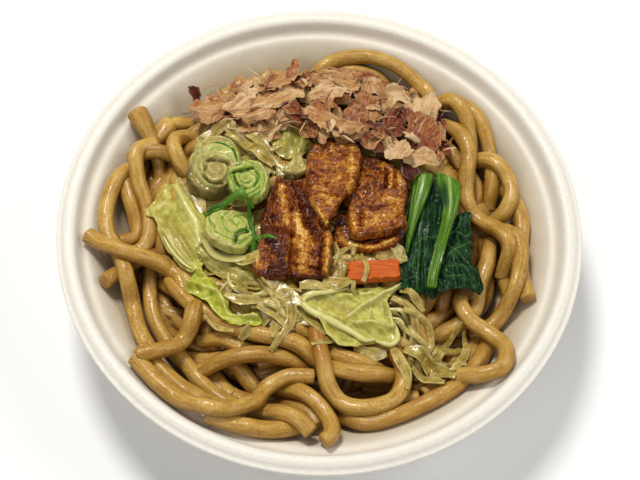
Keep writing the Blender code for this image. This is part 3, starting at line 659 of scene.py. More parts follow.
def udon_finish():
    """Wheat noodles coated with soy sauce: tan where they lie open, with painted shade on their sides that face
    down, and painted shade, with some sauce, where they lie deep in the heap.
    """
    f = Finish("udon", 0.45, Subsurface_Weight=0.08, Subsurface_Scale=0.003,
               Subsurface_Radius=(1.0, 0.6, 0.2), Coat_Weight=0.5, Coat_Roughness=0.07, IOR=1.42)
    streaks = f.noise(0.9, 4, f.lengthwise(8.0))
    blotches = f.noise(6.0, 3)
    specks = f.noise(0.8, 3)
    shade = f.total((streaks, 0.40), (blotches, 0.30), (specks, 0.30), (f.mark("tone"), 0.05))
    skin = f.ramp(shade, (0.33, (0.28, 0.125, 0.014)), (0.5, (0.47, 0.262, 0.046)),
                  (0.67, (0.65, 0.425, 0.11)))
    upright = f.node("SeparateXYZ", Vector=f.node("NewGeometry").outputs["Normal"]).outputs["Z"]
    # painted shade on the sides that face down
    shaded_sides = f.mix(f.between(upright, 0.0, 0.75, 0.6, 0.0), skin, (0.27, 0.115, 0.013))
    # painted shade, with some sauce, where a noodle lies deep below those round it
    deep_shade_and_sauce = f.mix(f.math("MULTIPLY", f.mark("deep"), 0.85), shaded_sides, (0.18, 0.068, 0.008))
    stained = f.mix(f.math("MULTIPLY", f.mark("stain"), f.between(streaks, 0.3, 0.6, 0.5, 1.0)), deep_shade_and_sauce,
                    (0.36, 0.14, 0.015))
    f.set(Base_Color=stained)
    f.set(Roughness=f.between(f.noise(1.4, 3), 0.3, 0.7, 0.35, 0.62))
    f.bump(f.noise(0.55, 3, f.lengthwise(5.0)), 0.16, 0.7)
    f.bump(f.noise(1.1, 3), 0.34, 0.7)
    f.glints(0.9, 0.22)
    return f.made


def shaded_core_finish():
    """The heart of the heap, painted dark brown as the shade deep in it, with some sauce."""
    f = Finish("udon_core_shade", 0.4)
    f.set(Base_Color=f.ramp(f.noise(4.0, 3), (0.3, (0.10, 0.035, 0.006)), (0.7, (0.20, 0.085, 0.018))))
    f.bump(f.noise(3.0, 3), 0.6)
    return f.made


def pork_finish():
    """Fried pork under a sticky glaze: golden where fatty, red-brown meat, near-black where the glaze is thick;
    the mark of the fatty parts also paints shade into grooves and dips, and light onto ridges and lumps.
    """
    f = Finish("pork", 0.38, Coat_Weight=0.5, Coat_Roughness=0.05, IOR=1.45, Specular_IOR_Level=0.1)
    fibres = f.noise(0.7, 4, f.lengthwise(2.6), distortion=0.6)
    speckle = f.noise(0.75, 3, distortion=0.4)
    patches = f.noise(3.2, 3, distortion=0.5)
    # the mark of the fatty parts: the fatty parts themselves, with painted shade in grooves and dips and
    # painted light on ridges and lumps
    value = f.swayed(f.mark("fat"), (fibres, 0.75), (speckle, 1.15), (patches, 0.35))
    f.set(Base_Color=f.ramp(value, (0.0, (0.040, 0.006, 0.002)), (0.20, (0.12, 0.022, 0.004)),
                            (0.40, (0.26, 0.066, 0.005)), (0.60, (0.43, 0.155, 0.012)),
                            (0.80, (0.62, 0.32, 0.05)), (1.0, (0.82, 0.56, 0.18))))
    f.set(Roughness=f.between(speckle, 0.3, 0.7, 0.25, 0.5))
    f.bump(fibres, 0.28, 0.8)
    f.bump(speckle, 0.30, 0.8)
    f.glints(0.8, 0.16)
    return f.made


def carrot_finish():
    """Cooked carrot: dull orange, with fine lines along it."""
    f = Finish("carrot", 0.4, Coat_Weight=0.12, Coat_Roughness=0.1, Subsurface_Weight=0.05,
               Subsurface_Scale=0.002, Subsurface_Radius=(1.0, 0.3, 0.1), Specular_IOR_Level=0.2)
    lines = f.noise(0.9, 4, f.lengthwise(6.0))
    f.set(Base_Color=f.ramp(lines, (0.25, (0.36, 0.052, 0.002)), (0.55, (0.55, 0.098, 0.004)),
                            (0.8, (0.64, 0.17, 0.014))))
    f.bump(f.noise(0.6, 3, f.lengthwise(3.0)), 0.3, 0.8)
    return f.made


def leaf_finish():
    """Dark cooked greens: nearly black-green with lighter folds and fine veins, wet."""
    f = Finish("leaf_green", 0.42, Coat_Weight=0.25, Coat_Roughness=0.07, Specular_IOR_Level=0.05)
    lines = f.noise(0.8, 4, f.lengthwise(7.0), distortion=0.4)
    net = f.node("TexVoronoi", {"feature": "DISTANCE_TO_EDGE"}, Vector=f.place, Scale=1 / (2.2 * MM))
    body = f.ramp(lines, (0.34, (0.0015, 0.010, 0.003)), (0.52, (0.006, 0.032, 0.009)),
                  (0.68, (0.022, 0.085, 0.026)))
    laced = f.mix(f.between(net.outputs["Distance"], 0.0, 0.06, 0.25, 0.0), body, (0.07, 0.17, 0.065))
    f.set(Base_Color=f.mix(f.mark("vein"), laced, (0.09, 0.21, 0.05)))
    f.bump(lines, 0.45, 1.0)
    f.bump(f.noise(1.0, 3), 0.4, 0.8)
    f.glints(0.9, 0.16)
    return f.made


def stem_finish():
    """Cooked stems: bright green, a little see-through, with a painted highlight along the top near the cut end
    and a paler streak along a rib further down.
    """
    f = Finish("stem_green", 0.32, Coat_Weight=0.4, Coat_Roughness=0.08, Subsurface_Weight=0.12,
               Subsurface_Scale=0.002, Subsurface_Radius=(0.6, 1.0, 0.2), Specular_IOR_Level=0.2)
    lines = f.noise(0.5, 3, f.lengthwise(14.0))
    value = f.math("ADD", lines, f.math("MULTIPLY", f.mark("dark"), -0.5))
    body = f.ramp(value, (0.10, (0.008, 0.050, 0.006)), (0.38, (0.045, 0.135, 0.005)),
                  (0.58, (0.095, 0.215, 0.008)), (0.78, (0.19, 0.32, 0.025)))
    # the pale mark: mostly a painted highlight along the top of the stem
    f.set(Base_Color=f.mix(f.mark("pale"), body, (0.42, 0.52, 0.16)))
    f.bump(lines, 0.14, 0.8)
    f.bump(f.noise(1.2, 2), 0.18, 0.6)
    f.glints(1.0, 0.08)
    return f.made


def cabbage_finish(name, pale, mid, deep, through=0.05):
    """Cooked cabbage or onion: wet, a little see-through, paler on its ribs, browner where it is stained,
    duller olive in places. Some duller places are painted shade in the hollows of folds, and one pale rib
    stroke is a painted highlight.
    """
    f = Finish(name, 0.3, Coat_Weight=0.6, Coat_Roughness=0.06, Subsurface_Weight=0.2, Subsurface_Scale=0.003,
               Subsurface_Radius=(1.0, 0.8, 0.3), Transmission_Weight=through, IOR=1.36)
    tone = f.math("ADD", f.noise(2.4, 4), f.math("MULTIPLY", f.mark("tone"), 0.08))
    lines = f.noise(0.8, 3, f.lengthwise(9.0))
    body = f.ramp(f.swayed(tone, (lines, 0.6)), (0.28, deep), (0.5, mid), (0.72, pale))
    # duller olive: partly the leaf's own colour, partly painted shade in hollows
    dull_and_shaded = f.mix(f.math("MULTIPLY", f.mark("dull"), 0.8), body, (0.28, 0.20, 0.03))
    rib = tuple(0.35 * own + 0.65 * white for own, white in zip(pale, (0.80, 0.75, 0.34)))
    ribbed = f.mix(f.mark("vein"), dull_and_shaded, rib)
    f.set(Base_Color=f.mix(f.mark("stain"), ribbed, (0.50, 0.22, 0.02)))
    f.set(Roughness=f.between(f.noise(1.6, 3), 0.3, 0.7, 0.22, 0.5))
    f.bump(lines, 0.24, 0.8)
    f.bump(f.noise(1.2, 3), 0.34, 0.7)
    f.glints(0.9, 0.12)
    return f.made


def leek_finish():
    """Leek, from its pale olive heart to its dark green outer leaf, with painted shade in its grooves
    and on a side wall.
    """
    f = Finish("leek", 0.32, Coat_Weight=0.55, Coat_Roughness=0.06, Subsurface_Weight=0.12,
               Subsurface_Scale=0.003, Subsurface_Radius=(1.0, 0.9, 0.3), Transmission_Weight=0.04, IOR=1.36)
    lines = f.noise(0.6, 3, f.lengthwise(7.0))
    blotches = f.noise(2.6, 3)
    specks = f.noise(0.7, 3)
    value = f.swayed(f.mark("green"), (lines, 0.36), (blotches, 0.22), (specks, 0.20))
    body = f.ramp(value, (0.0, (0.52, 0.37, 0.13)), (0.15, (0.37, 0.28, 0.075)), (0.32, (0.58, 0.51, 0.18)),
                  (0.46, (0.46, 0.50, 0.10)), (0.62, (0.20, 0.32, 0.033)), (0.80, (0.065, 0.22, 0.012)),
                  (1.0, (0.010, 0.085, 0.005)))
    # painted shade: darker in the grooves and on the shaded side wall
    f.set(Base_Color=f.mix(f.mark("deep"), body, (0.080, 0.048, 0.004)))
    f.bump(lines, 0.2, 0.8)
    f.bump(f.noise(1.2, 3), 0.3, 0.6)
    f.glints(0.9, 0.12)
    return f.made


def bonito_finish():
    """Dried bonito shavings: papery, tan and pink with darker red grain, near-black at the skin, paler at their
    thin edges as painted light shining through them.
    """
    f = Finish("bonito", 0.5, Subsurface_Weight=0.08, Subsurface_Scale=0.002,
               Subsurface_Radius=(1.0, 0.5, 0.35), Coat_Weight=0.12, Coat_Roughness=0.2,
               Specular_IOR_Level=0.2)
    lines = f.noise(0.5, 4, f.lengthwise(8.0), distortion=0.5)
    broad = f.noise(2.2, 3, f.lengthwise(3.0), distortion=0.6)
    specks = f.noise(0.8, 3)
    value = f.swayed(f.mark("red"), (lines, 0.8), (broad, 0.6), (specks, 0.5))
    body = f.ramp(value, (0.0, (0.66, 0.45, 0.235)), (0.22, (0.50, 0.27, 0.10)), (0.42, (0.40, 0.175, 0.060)),
                  (0.62, (0.27, 0.075, 0.026)), (0.82, (0.13, 0.022, 0.009)), (1.0, (0.035, 0.006, 0.004)))
    # painted light: paler at the thin edges, where light shines through
    f.set(Base_Color=f.mix(f.math("MULTIPLY", f.mark("rim"), 0.3), body, (0.66, 0.45, 0.24)))
    f.set(Roughness=f.between(lines, 0.3, 0.7, 0.38, 0.62))
    f.bump(f.noise(0.45, 3, f.lengthwise(7.0)), 0.14, 0.8)
    f.glints(1.0, 0.2)
    return f.made


# ---------------------------------------------------------------- the tray


def inner_profile():
    """Radius and height of the tray's inner face, from the middle of the floor to the outer lip."""
    return (
        (0, FLOOR_HEIGHT),
        (FLOOR_RADIUS - 6, FLOOR_HEIGHT),
        (FLOOR_RADIUS, FLOOR_HEIGHT + 1.0),
        (FLOOR_RADIUS + 4.0, FLOOR_HEIGHT + 3.8),
        (LEDGE_RADIUS - 1.6, LEDGE_HEIGHT - 1.4),
        (LEDGE_RADIUS, LEDGE_HEIGHT),
        (LEDGE_RADIUS + 2.0, LEDGE_HEIGHT + 0.3),
        (LEDGE_RADIUS + 3.0, LEDGE_HEIGHT + 1.4),
        (RIM_RADIUS - 6.4, RIM_HEIGHT - 0.9),
        (RIM_RADIUS - 4.8, RIM_HEIGHT),
        (RIM_RADIUS - 2.8, RIM_HEIGHT - 0.3),
        (RIM_RADIUS - 1.5, RIM_HEIGHT - 1.4),
        (RIM_RADIUS, RIM_HEIGHT - 1.5),
    )


def outer_profile():
    """Radius and height of the tray's outer face, from the lip down to the middle of the underside."""
    return (
        (RIM_RADIUS, RIM_HEIGHT - 2.8),
        (RIM_RADIUS - 3.4, RIM_HEIGHT - 2.4),
        (RIM_RADIUS - 5.2, RIM_HEIGHT - 2.2),
        (LEDGE_RADIUS + 4.2, LEDGE_HEIGHT - 0.6),
        (LEDGE_RADIUS + 0.8, LEDGE_HEIGHT - WALL),
        (FLOOR_RADIUS + 5.4, FLOOR_HEIGHT + 1.8),
        (FLOOR_RADIUS + 1.0, 0),
        (FLOOR_RADIUS - 7, 0),
        (FLOOR_RADIUS - 8, 0.8),
        (0, 0.8),
    )


def rounded(profile, reach):
    """The profile with each corner turned into a short curve."""
    profile = np.array(profile, float)
    made = [profile[0]]
    for before, corner, after in zip(profile, profile[1:], profile[2:]):
        for t in np.linspace(0, 1, 5):
            start = corner + (before - corner) * min(0.45, reach / np.linalg.norm(before - corner))
            stop = corner + (after - corner) * min(0.45, reach / np.linalg.norm(after - corner))
            made.append((1 - t) ** 2 * start + 2 * t * (1 - t) * corner + t**2 * stop)
    return np.array(made + [profile[-1]])


def tray_height(x, y):
    """Height of the tray's inner face."""
    radii, heights = zip(*inner_profile())
    return np.interp(np.hypot(x, y), radii, heights)


def make_tray(finish):
    """The dish in one skin, turned about its middle. The outside, which keeps the rim's white without the inner
    wall's painted shade and sauce stain, is marked.
    """
    profile = rounded(inner_profile() + outer_profile(), 1.0)[::-1]
    turn = 2 * math.pi * np.arange(TRAY_STEPS) / TRAY_STEPS
    loops = [np.column_stack([radius * np.cos(turn), radius * np.sin(turn), np.full(TRAY_STEPS, height)])
             for radius, height in profile[1:-1]]
    tray = Piece()
    points, faces = loft(loops)
    points[-2:, 2] = profile[[0, -1], 1]
    tray.add(points, faces, outside=1.0 * (points[:, 2] < tray_height(points[:, 0], points[:, 1]) - 0.5))
    tray.build("tray_foam_dish", finish, ["tray"], angle=50)


class Food:
    """What is in the tray so far: the top of it all, and the underside of the toppings."""

    def __init__(self, toppings):
        self.tray = Heap(tray_height(Heap.x, Heap.y))
        self.top = Heap(self.tray.heights)
        self.underside = Heap(NOTHING)
        for node in toppings:
            points, faces = solid(node)
            self.top.take(points, faces)
            self.underside.take(points, faces, below=True)


# ---------------------------------------------------------------- noodles


# Noodles that show on top, in the order they are laid: how each end is, and the way it lies.
TOP_NOODLES = (
    # round the left side
    (FREE, SUNK, ((-70.5, 42.5), (-66.5, 36.5), (-63, 30.5), (-60.5, 24), (-59, 16))),
    (SUNK, SUNK, ((-72, 24), (-64, 26), (-56, 26), (-48, 24))),
    (SUNK, SUNK, ((-73, 18), (-70, 10), (-67, 2), (-66, -5), (-72, -8))),
    (SUNK, SUNK, ((-62, 30), (-68, 25), (-67, 15), (-63, 6), (-61, -4), (-63, -11), (-69, -13.5),
                  (-75, -8), (-77, 3), (-75, 14), (-70, 22))),
    (SUNK, SUNK, ((-44, 36), (-52, 35), (-55, 28), (-51, 20), (-44, 17))),
    # down the front left
    (FREE, SUNK, ((-74, -27), (-69, -21.5), (-63, -16), (-57, -12))),
    (SUNK, SUNK, ((-72, -12), (-68.5, -19), (-65.5, -27), (-63, -35), (-60, -43), (-55, -51))),
    (SUNK, SUNK, ((-59.5, -14), (-59, -25), (-56.5, -35), (-50.5, -45), (-43, -53), (-36.5, -60),
                  (-29, -66), (-20, -68))),
    (SUNK, SUNK, ((-52, -22), (-49, -27), (-44, -32), (-38, -38))),
    (SUNK, SUNK, ((-40, -43), (-31, -44), (-22, -48), (-12, -47))),
    (SUNK, SUNK, ((-41, -56), (-31, -52.5), (-20, -50.5), (-9, -50.5), (0, -53))),
    (FREE, SUNK, ((-82, -10), (-75, -14), (-66, -17.5), (-56, -18.5), (-49, -21), (-46, -28), (-38, -35),
                  (-29, -40.5), (-18, -43.5), (-6, -46), (3, -51))),
    (SUNK, SUNK, ((-59, -50), (-52, -57), (-44, -63.5), (-35, -68), (-26, -70))),
    (FREE, SUNK, ((-59, -55), (-53, -53), (-46.5, -48.5), (-42.5, -42), (-41.5, -35), (-40, -27))),
    # along the front
    (SUNK, SUNK, ((-34, -74), (-25, -76.5), (-15, -77.5), (-7, -76), (-1, -72.5))),
    (SUNK, SUNK, ((-15, -63), (-7, -65), (0, -69), (3, -74))),
    (SUNK, FREE, ((-20, -68), (-11, -70.5), (-4, -73.5), (1, -78))),
    (SUNK, SUNK, ((-14, -58), (-5, -61), (2, -66), (6.8, -72.5), (7.6, -78), (5, -81))),
    (SUNK, SUNK, ((2, -45), (10, -49), (19, -52), (28, -51))),
    (SUNK, SUNK, ((2, -51), (11, -55), (20, -56), (30, -52))),
    (SUNK, FREE, ((-60, -55), (-50, -64.5), (-39, -71.5), (-27, -73), (-19, -68), (-15, -61), (-8, -57),
                  (1, -56.5))),
    (SUNK, SUNK, ((7, -62), (12, -68.5), (20, -71), (31, -67.5), (42, -61.5), (50, -55.5), (57, -47),
                  (62, -37))),
    (SUNK, SUNK, ((0, -34), (1, -43), (3.4, -52), (6, -60.5), (11.5, -66), (19, -67), (27, -64), (31, -57.5),
                  (30.4, -50), (26, -44), (19, -40))),
    # round the right side
    (SUNK, SUNK, ((37, -20), (35, -29), (36, -39), (41, -44))),
    (SUNK, SUNK, ((62, 2), (60.5, -8), (58, -16), (56, -26), (50, -33), (40, -37))),
    (FREE, SUNK, ((74, -24), (72.5, -14), (72.5, -2), (73, 9), (69.5, 20), (63, 28))),
    (SUNK, SUNK, ((55, -36), (63, -31), (68.5, -22), (71, -12), (71.5, -2), (66, 5), (58, 6))),
    (SUNK, SUNK, ((57, -25), (53.5, -19), (50.5, -26), (54, -33), (60.5, -38), (65.5, -44), (64, -51),
                  (57, -54), (49, -53))),
    (SUNK, SUNK, ((43, 59), (51, 56.5), (57, 51), (60.5, 43), (62, 34), (62.5, 25), (62, 16))),
    (SUNK, SUNK, ((53, 34), (61, 31.5), (67, 25.5), (69, 18), (66, 11), (59, 9))),
    (SUNK, SUNK, ((33, 55), (40, 57.5), (47, 56), (51.5, 50.5), (54, 43), (54, 35), (51, 28))),
    (SUNK, SUNK, ((36, 59), (43, 51), (49.5, 42.5), (53, 34), (52.5, 24), (53, 15), (57, 8), (63, 3),
                  (67.5, -4), (66, -13))),
    # behind the flakes
    (SUNK, SUNK, ((-5, 66), (1, 70.5), (9, 72), (17, 70), (24, 65))),
    (SUNK, SUNK, ((-2, 62), (6, 66.5), (14, 66), (23, 62), (30, 57))),
    (SUNK, SUNK, ((-40, 58), (-30, 63), (-20, 65.5), (-9, 65))),
    (SUNK, SUNK, ((-8, 63), (-3.5, 70), (5, 75), (15, 75.5), (24, 73), (32.4, 67.5), (38.6, 60), (39.5, 53),
                  (36, 47))),
)

# The place in that table of the noodle that sauce stains at the front
STAINED_NOODLE = 22


def bed_height(x, y):
    """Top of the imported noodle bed: a ring at the wall and a dome under the toppings."""
    ring = RING_HEIGHT - RING_SLOPE * (LOW_SIDE[0] * x + LOW_SIDE[1] * y)
    away = np.hypot(x - DOME_CENTRE[0], y - DOME_CENTRE[1]) / DOME_RADIUS
    return ring + (DOME_HEIGHT - ring) * smoothstep((1 - away) / (1 - DOME_TOP_SHARE))


def laid(route, ends, radius, press, own, floor, ceiling, limit=NOTHING):
    """The line a strand takes: on and pressed into its own heap, and cut off where it has no room to pass."""
    line = smooth_route(route, 1.0)
    x, y = line.T
    heights = np.minimum(own.rest(x, y, radius) - press, limit)
    within = moving(np.maximum(own.at(x, y), floor.at(x, y)), 4, np.mean) - 1.3 * radius
    along = np.arange(len(line), dtype=float)
    for end, way in zip(ends, (along, along[::-1])):
        if end == SUNK:
            heights = np.minimum(heights, within + (heights - within) * smoothstep(way / SINK_RUN))
    low = floor.rest(x, y, radius + GAP)
    high = ceiling.rest(x, y, radius + GAP, below=True)
    heights = moving(moving(np.maximum(heights, low), 3, np.max), 3, np.mean)
    for _ in range(3):
        heights = np.minimum(moving(np.minimum(heights, high), 2, np.mean), high)
    return np.column_stack([line, np.maximum(heights, low)])[longest_run(low <= high)]


def filler_routes(draw):
    """Noodles that wander round the ring between the dome and the wall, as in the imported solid."""
    inner, outer = 50.0, 72.0
    routes = []
    for k in range(FILLERS):
        angle = 2 * math.pi * (k + draw.uniform(0, 0.6)) / FILLERS
        spot = draw.uniform(inner + 3, outer - 3) * ways(angle)[0]
        heading = angle + math.pi / 2 + draw.uniform(-0.9, 0.9)
        route = [spot]
        for _ in range(int(draw.integers(4, 7))):
            spot = spot + 9.0 * ways(heading)[0]
            away = math.hypot(*spot)
            wanted = math.atan2(spot[1], spot[0]) + math.pi / 2 + (2 * away - inner - outer) / 44
            off = (wanted - heading + math.pi) % (2 * math.pi) - math.pi
            heading += 0.55 * off + draw.uniform(-0.45, 0.45)
            route.append(spot * min(1.0, outer / away))
        routes.append((SUNK, SUNK, np.array(route)))
    return routes


def under_routes(draw):
    """Noodles that fill the tray below those on top, spread evenly over it, their ends turned inwards."""
    golden = math.radians(137.508)
    routes = []
    for k in draw.permutation(UNDER_NOODLES):
        angle = k * golden
        reach = 70.0 - 4.0 * smoothstep(math.sin(angle) * 1.6)
        away = reach * math.sqrt((k + 0.5) / UNDER_NOODLES)
        spot = away * ways(angle)[0]
        lean = angle + math.pi / 2 + draw.uniform(-0.5, 0.5)
        halves = []
        for way in (1, -1):
            place, heading, half = spot, lean + (0 if way == 1 else math.pi), []
            for _ in range(int(draw.integers(2, 5))):
                place = place + 8.0 * ways(heading)[0]
                turn = 0.08 + 0.30 * smoothstep((math.hypot(*place) - 45) / 25)
                heading += way * turn + draw.uniform(-0.3, 0.3)
                half.append(place)
            halves.append(half)
        routes.append(np.array(halves[1][::-1] + [spot] + halves[0]))
    return routes


def noodle(piece, draw, line, radius, sides, step, **marks):
    """One noodle, a little uneven in thickness and turned about its own length."""
    line = evenly(line, step)
    seed = draw.uniform(0, 100)
    run = np.arange(len(line)) * step
    radii = radius * (1 + 0.05 * grain(run[:, None], 14.0, seed) + 0.02 * grain(run[:, None], 4.0, seed + 1))
    # the one that ends high at the back left is swollen there
    radii *= 1 + SWELLING * smoothstep((line[:, 1] - SWOLLEN_BEHIND) / 7) * (line[:, 0] < SWOLLEN_LEFT_OF)
    twist = draw.uniform(0, 3) + 0.9 * grain(run[:, None], 22.0, seed + 2)
    points, faces, along, around = strand(line, radii, sides, square=2.7, twist=twist)
    piece.add(points, faces, along=along, around=around, tone=draw.uniform(-1, 1),
              **{name: value(points) for name, value in marks.items()})


def stained(points):
    """Where the sauce has stained a noodle: all but what lies furthest to the front."""
    return smoothstep((points[:, 1] + 60) / 12)


def make_core(finish):
    """The heap's own core below the noodles that show. Returns its top as a height map."""
    steps = 96
    turn = 2 * math.pi * np.arange(steps) / steps
    # the core's edge is where its top comes close to the tray
    units = np.stack([np.cos(turn), np.sin(turn)], axis=1)
    out = np.arange(FLOOR_RADIUS - 8, LEDGE_RADIUS, 0.25)
    edge = []
    for unit in units:
        x, y = np.outer(unit, out)
        edge.append(out[np.argmax(bed_height(x, y) - CORE_DROP - tray_height(x, y) < 1.0)])
    edge = units * np.array(edge)[:, None]
    loops = []
    for radius in (20.0, FLOOR_RADIUS - 8):
        x, y = (units * radius).T
        loops.append(np.stack([x, y, tray_height(x, y) + GAP], axis=1))
    loops.append(np.column_stack([edge, tray_height(*edge.T) + GAP]))
    for share in np.linspace(1, 0.02, 40):
        x, y = (edge * share).T
        lumps = 0.8 * grain(np.column_stack([x, y]), 5.0) * min(1, 20 * (1 - share))
        loops.append(np.column_stack([x, y, bed_height(x, y) - CORE_DROP + lumps]))
    core = Piece()
    core.add(*loft(loops))
    core.build("noodle_core", finish, ["noodles"])
    top = Heap(-NOTHING)
    top.take(core.points[0], core.faces)
    return top


def make_noodles(food, finish, core):
    """The heap of noodles: those on top as they lie, then the ones that fill the gaps below them."""
    draw = np.random.default_rng(SEED)
    bed = bed_height(Heap.x, Heap.y)
    own = Heap(np.maximum(bed, food.tray.heights))
    # at the wall, where the bed ends, the noodles lie on the tray alone
    own.heights[food.tray.heights + BED_END > bed] = -NOTHING
    top_lines, undersides = [], Heap(food.underside.heights)
    routes = filler_routes(np.random.default_rng(SEED)) + list(TOP_NOODLES)
    for k, (first, last, route) in enumerate(routes):
        line = laid(route, (first, last), LAID_RADIUS, NOODLE_PRESS, own, food.tray, food.underside)
        if len(line) > SHORTEST_LINE:
            own.cover(line, LAID_RADIUS)
            # its ends go down into the heap, so only the rest of it holds down the noodles below
            undersides.cover(line[8:-8], HOLDING_RADIUS, below=True)
            top_lines.append((line, {"stain": stained} if k == FILLERS + STAINED_NOODLE else {}))
    low = Heap(core.heights)
    under_lines = []
    for route in under_routes(draw):
        limit = bed_height(*smooth_route(route, 1.0).T) + UNDER_RISE - NOODLE_RADIUS
        line = laid(route, (SUNK, SUNK), NOODLE_RADIUS, UNDER_PRESS, low, food.tray, undersides, limit)
        if len(line) > SHORTEST_LINE:
            low.cover(line, NOODLE_RADIUS)
            under_lines.append(line)
    food.noodles = Heap(np.maximum(own.heights, low.heights))
    food.top.heights = np.maximum(food.top.heights, food.noodles.heights)

    def deep(points):
        """How deep each point lies below what is round it, from 0 to 1: the finish paints shade there, with
        some sauce.
        """
        above = food.top.mean(points[:, 0], points[:, 1], 7.0)
        return smoothstep((above - points[:, 2] - 0.5) / 6.5)

    top = Piece()
    for line, marks in top_lines:
        noodle(top, draw, line, NOODLE_RADIUS, 18, 0.9, deep=deep, **marks)
    top.build("noodles_top", finish, ["noodles"])
    below = Piece()
    for line in under_lines:
        noodle(below, draw, line, NOODLE_RADIUS * draw.uniform(0.94, 1.04), 12, 1.4, deep=deep)
    below.build("noodles_below", finish, ["noodles"])


# ---------------------------------------------------------------- kinds of topping


def slab(name, finish, slot, node, corners, thickness, step=0.45, ridges=(), fat=(), base_fat=0.3, lean=1.57,
         ragged=0.7, rounding=1.6, lumps=0.4, crags=0.0, spacing=1.6, **marks):
    """Builds a thick slice on its plane, with rounded uneven edges. ridges are strokes, and so are the fatty
    parts, whose strokes and colour also paint shade into grooves and dips and light onto ridges and lumps.

    lean is the way its fibres run, in radians, crags the height of the wrinkles along them, and spacing how
    far apart those are. A further mark is given as a function of the points.
    """
    plane = resting_plane(node)
    outline = closed_outline(corners, step, ragged, 2.2)
    way, side = ways(lean)

    def relief(x, y):
        """How high the lumps and the wrinkles are."""
        spots = np.column_stack([x, y])
        spots = spots + 0.9 * np.column_stack([grain(spots, 3.2, 21), grain(spots, 3.2, 22)])
        run, off = spots @ way, spots @ side
        fine = np.abs(grain(np.column_stack([off / spacing, run / (2.0 * spacing)]), 1.0, 11))
        finer = np.abs(grain(np.column_stack([off / spacing, run / spacing]) * 1.9, 1.0, 12))
        rough = grain(spots, 3.4) + 0.6 * grain(spots, 1.7, 5) + 0.5 * grain(spots, 0.85, 9)
        return lumps * rough, crags * (1 - 2.2 * fine - 1.1 * finer)

    def body(x, y, edge, share):
        """The slice's thickness with this share of its ridges and wrinkles, thinner towards its edge."""
        curve = np.sqrt(1 - (1 - np.clip(edge / rounding, 0, 1)) ** 2)
        rough, wrinkles = relief(x, y)
        return curve * (thickness + share * (strokes(x, y, ridges) + wrinkles) + rough)

    def top(x, y, edge):
        return plane(x, y) + 0.25 * thickness * (1 - np.clip(edge / rounding, 0, 1)) + body(x, y, edge, 1.0)

    points, faces, _ = sheet(outline, step, top, lambda x, y, edge: body(x, y, edge, 0.5))
    x, y = points[:, 0], points[:, 1]
    rough, wrinkles = relief(x, y)
    # the colour follows this relief: painted light on the lumps and the crests of the wrinkles, painted shade
    # in their dips
    high = 0.30 * rough / max(lumps, 0.1) + 0.45 * wrinkles / max(crags, 0.1)
    piece = Piece()
    piece.add(points, faces, along=points[:, :2] @ way, around=points[:, :2] @ side,
              fat=base_fat + strokes(x, y, fat) + 0.30 * high,
              **{mark: value(points) for mark, value in marks.items()})
    piece.build(name, finish, [node])


def cord(piece, heights, route, widths, lift, **marks):
    """Adds a thin round strand along the top of the heights, with its radii from one end to the other."""
    line = smooth_route(route, 0.5)
    wide = spread(widths, len(line))
    wide = wide * (1 + 0.15 * grain(line, 2.0, len(line)))
    z = moving(heights.mean(*line.T, 0.8), 3, np.mean) + lift
    points, faces, along, around = strand(np.column_stack([line, z]), wide, 10, flatten=0.8, blunt=False)
    piece.add(points, faces, along=along, around=around, **marks)


def leaf(name, finish, node, corners, thickness, ruffle, wave, lean, crease, step=0.6, ragged=0.4,
         folds=(), veins_and_highlights=(), stain=(), dull=(), cords=()):
    """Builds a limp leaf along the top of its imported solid, with ruffles, an uneven edge and strokes on it.

    ruffle is the height of its waves and wave their length. crease gives long folds along lean, an angle in
    radians: their spacing, their length and their height. Each cord has its route, its radii, how high it
    lies and how pale it is.
    """
    under = surface(node)
    outline = closed_outline(corners, step, ragged, 2.5)
    way, side = ways(lean)
    spacing, length, height = crease

    def top(x, y, edge):
        spots = np.column_stack([x, y])
        run, off = spots @ way, spots @ side
        edges = 1 - smoothstep(edge / 4)
        creased = grain(np.column_stack([off / spacing, run / length]), 1.0, 6)
        finer = grain(np.column_stack([2.3 * off / spacing, 1.7 * run / length]), 1.0, 7)
        return (under.mean(x, y, 2.5) + ruffle * (0.5 + 0.8 * edges) * grain(spots, wave, 3)
                + 0.3 * ruffle * grain(spots, wave / 2.6, 4) + height * (creased + 0.45 * finer)
                + strokes(x, y, folds) + 0.3 * strokes(x, y, veins_and_highlights))

    def thick(x, y, edge):
        return thickness * (0.5 + 0.5 * smoothstep(edge / 1.5))

    points, faces, _ = sheet(outline, step, top, thick)
    spots = points[:, :2]
    marks = {mark: np.clip(strokes(*spots.T, drawn), 0, 1)
             for mark, drawn in (("vein", veins_and_highlights), ("stain", stain), ("dull", dull))}
    piece = Piece()
    piece.add(points, faces, along=spots @ way, around=spots @ side, **marks)
    for route, widths, lift, pale in cords:
        cord(piece, under, route, widths, lift, vein=pale)
    piece.build(name, finish, [node])


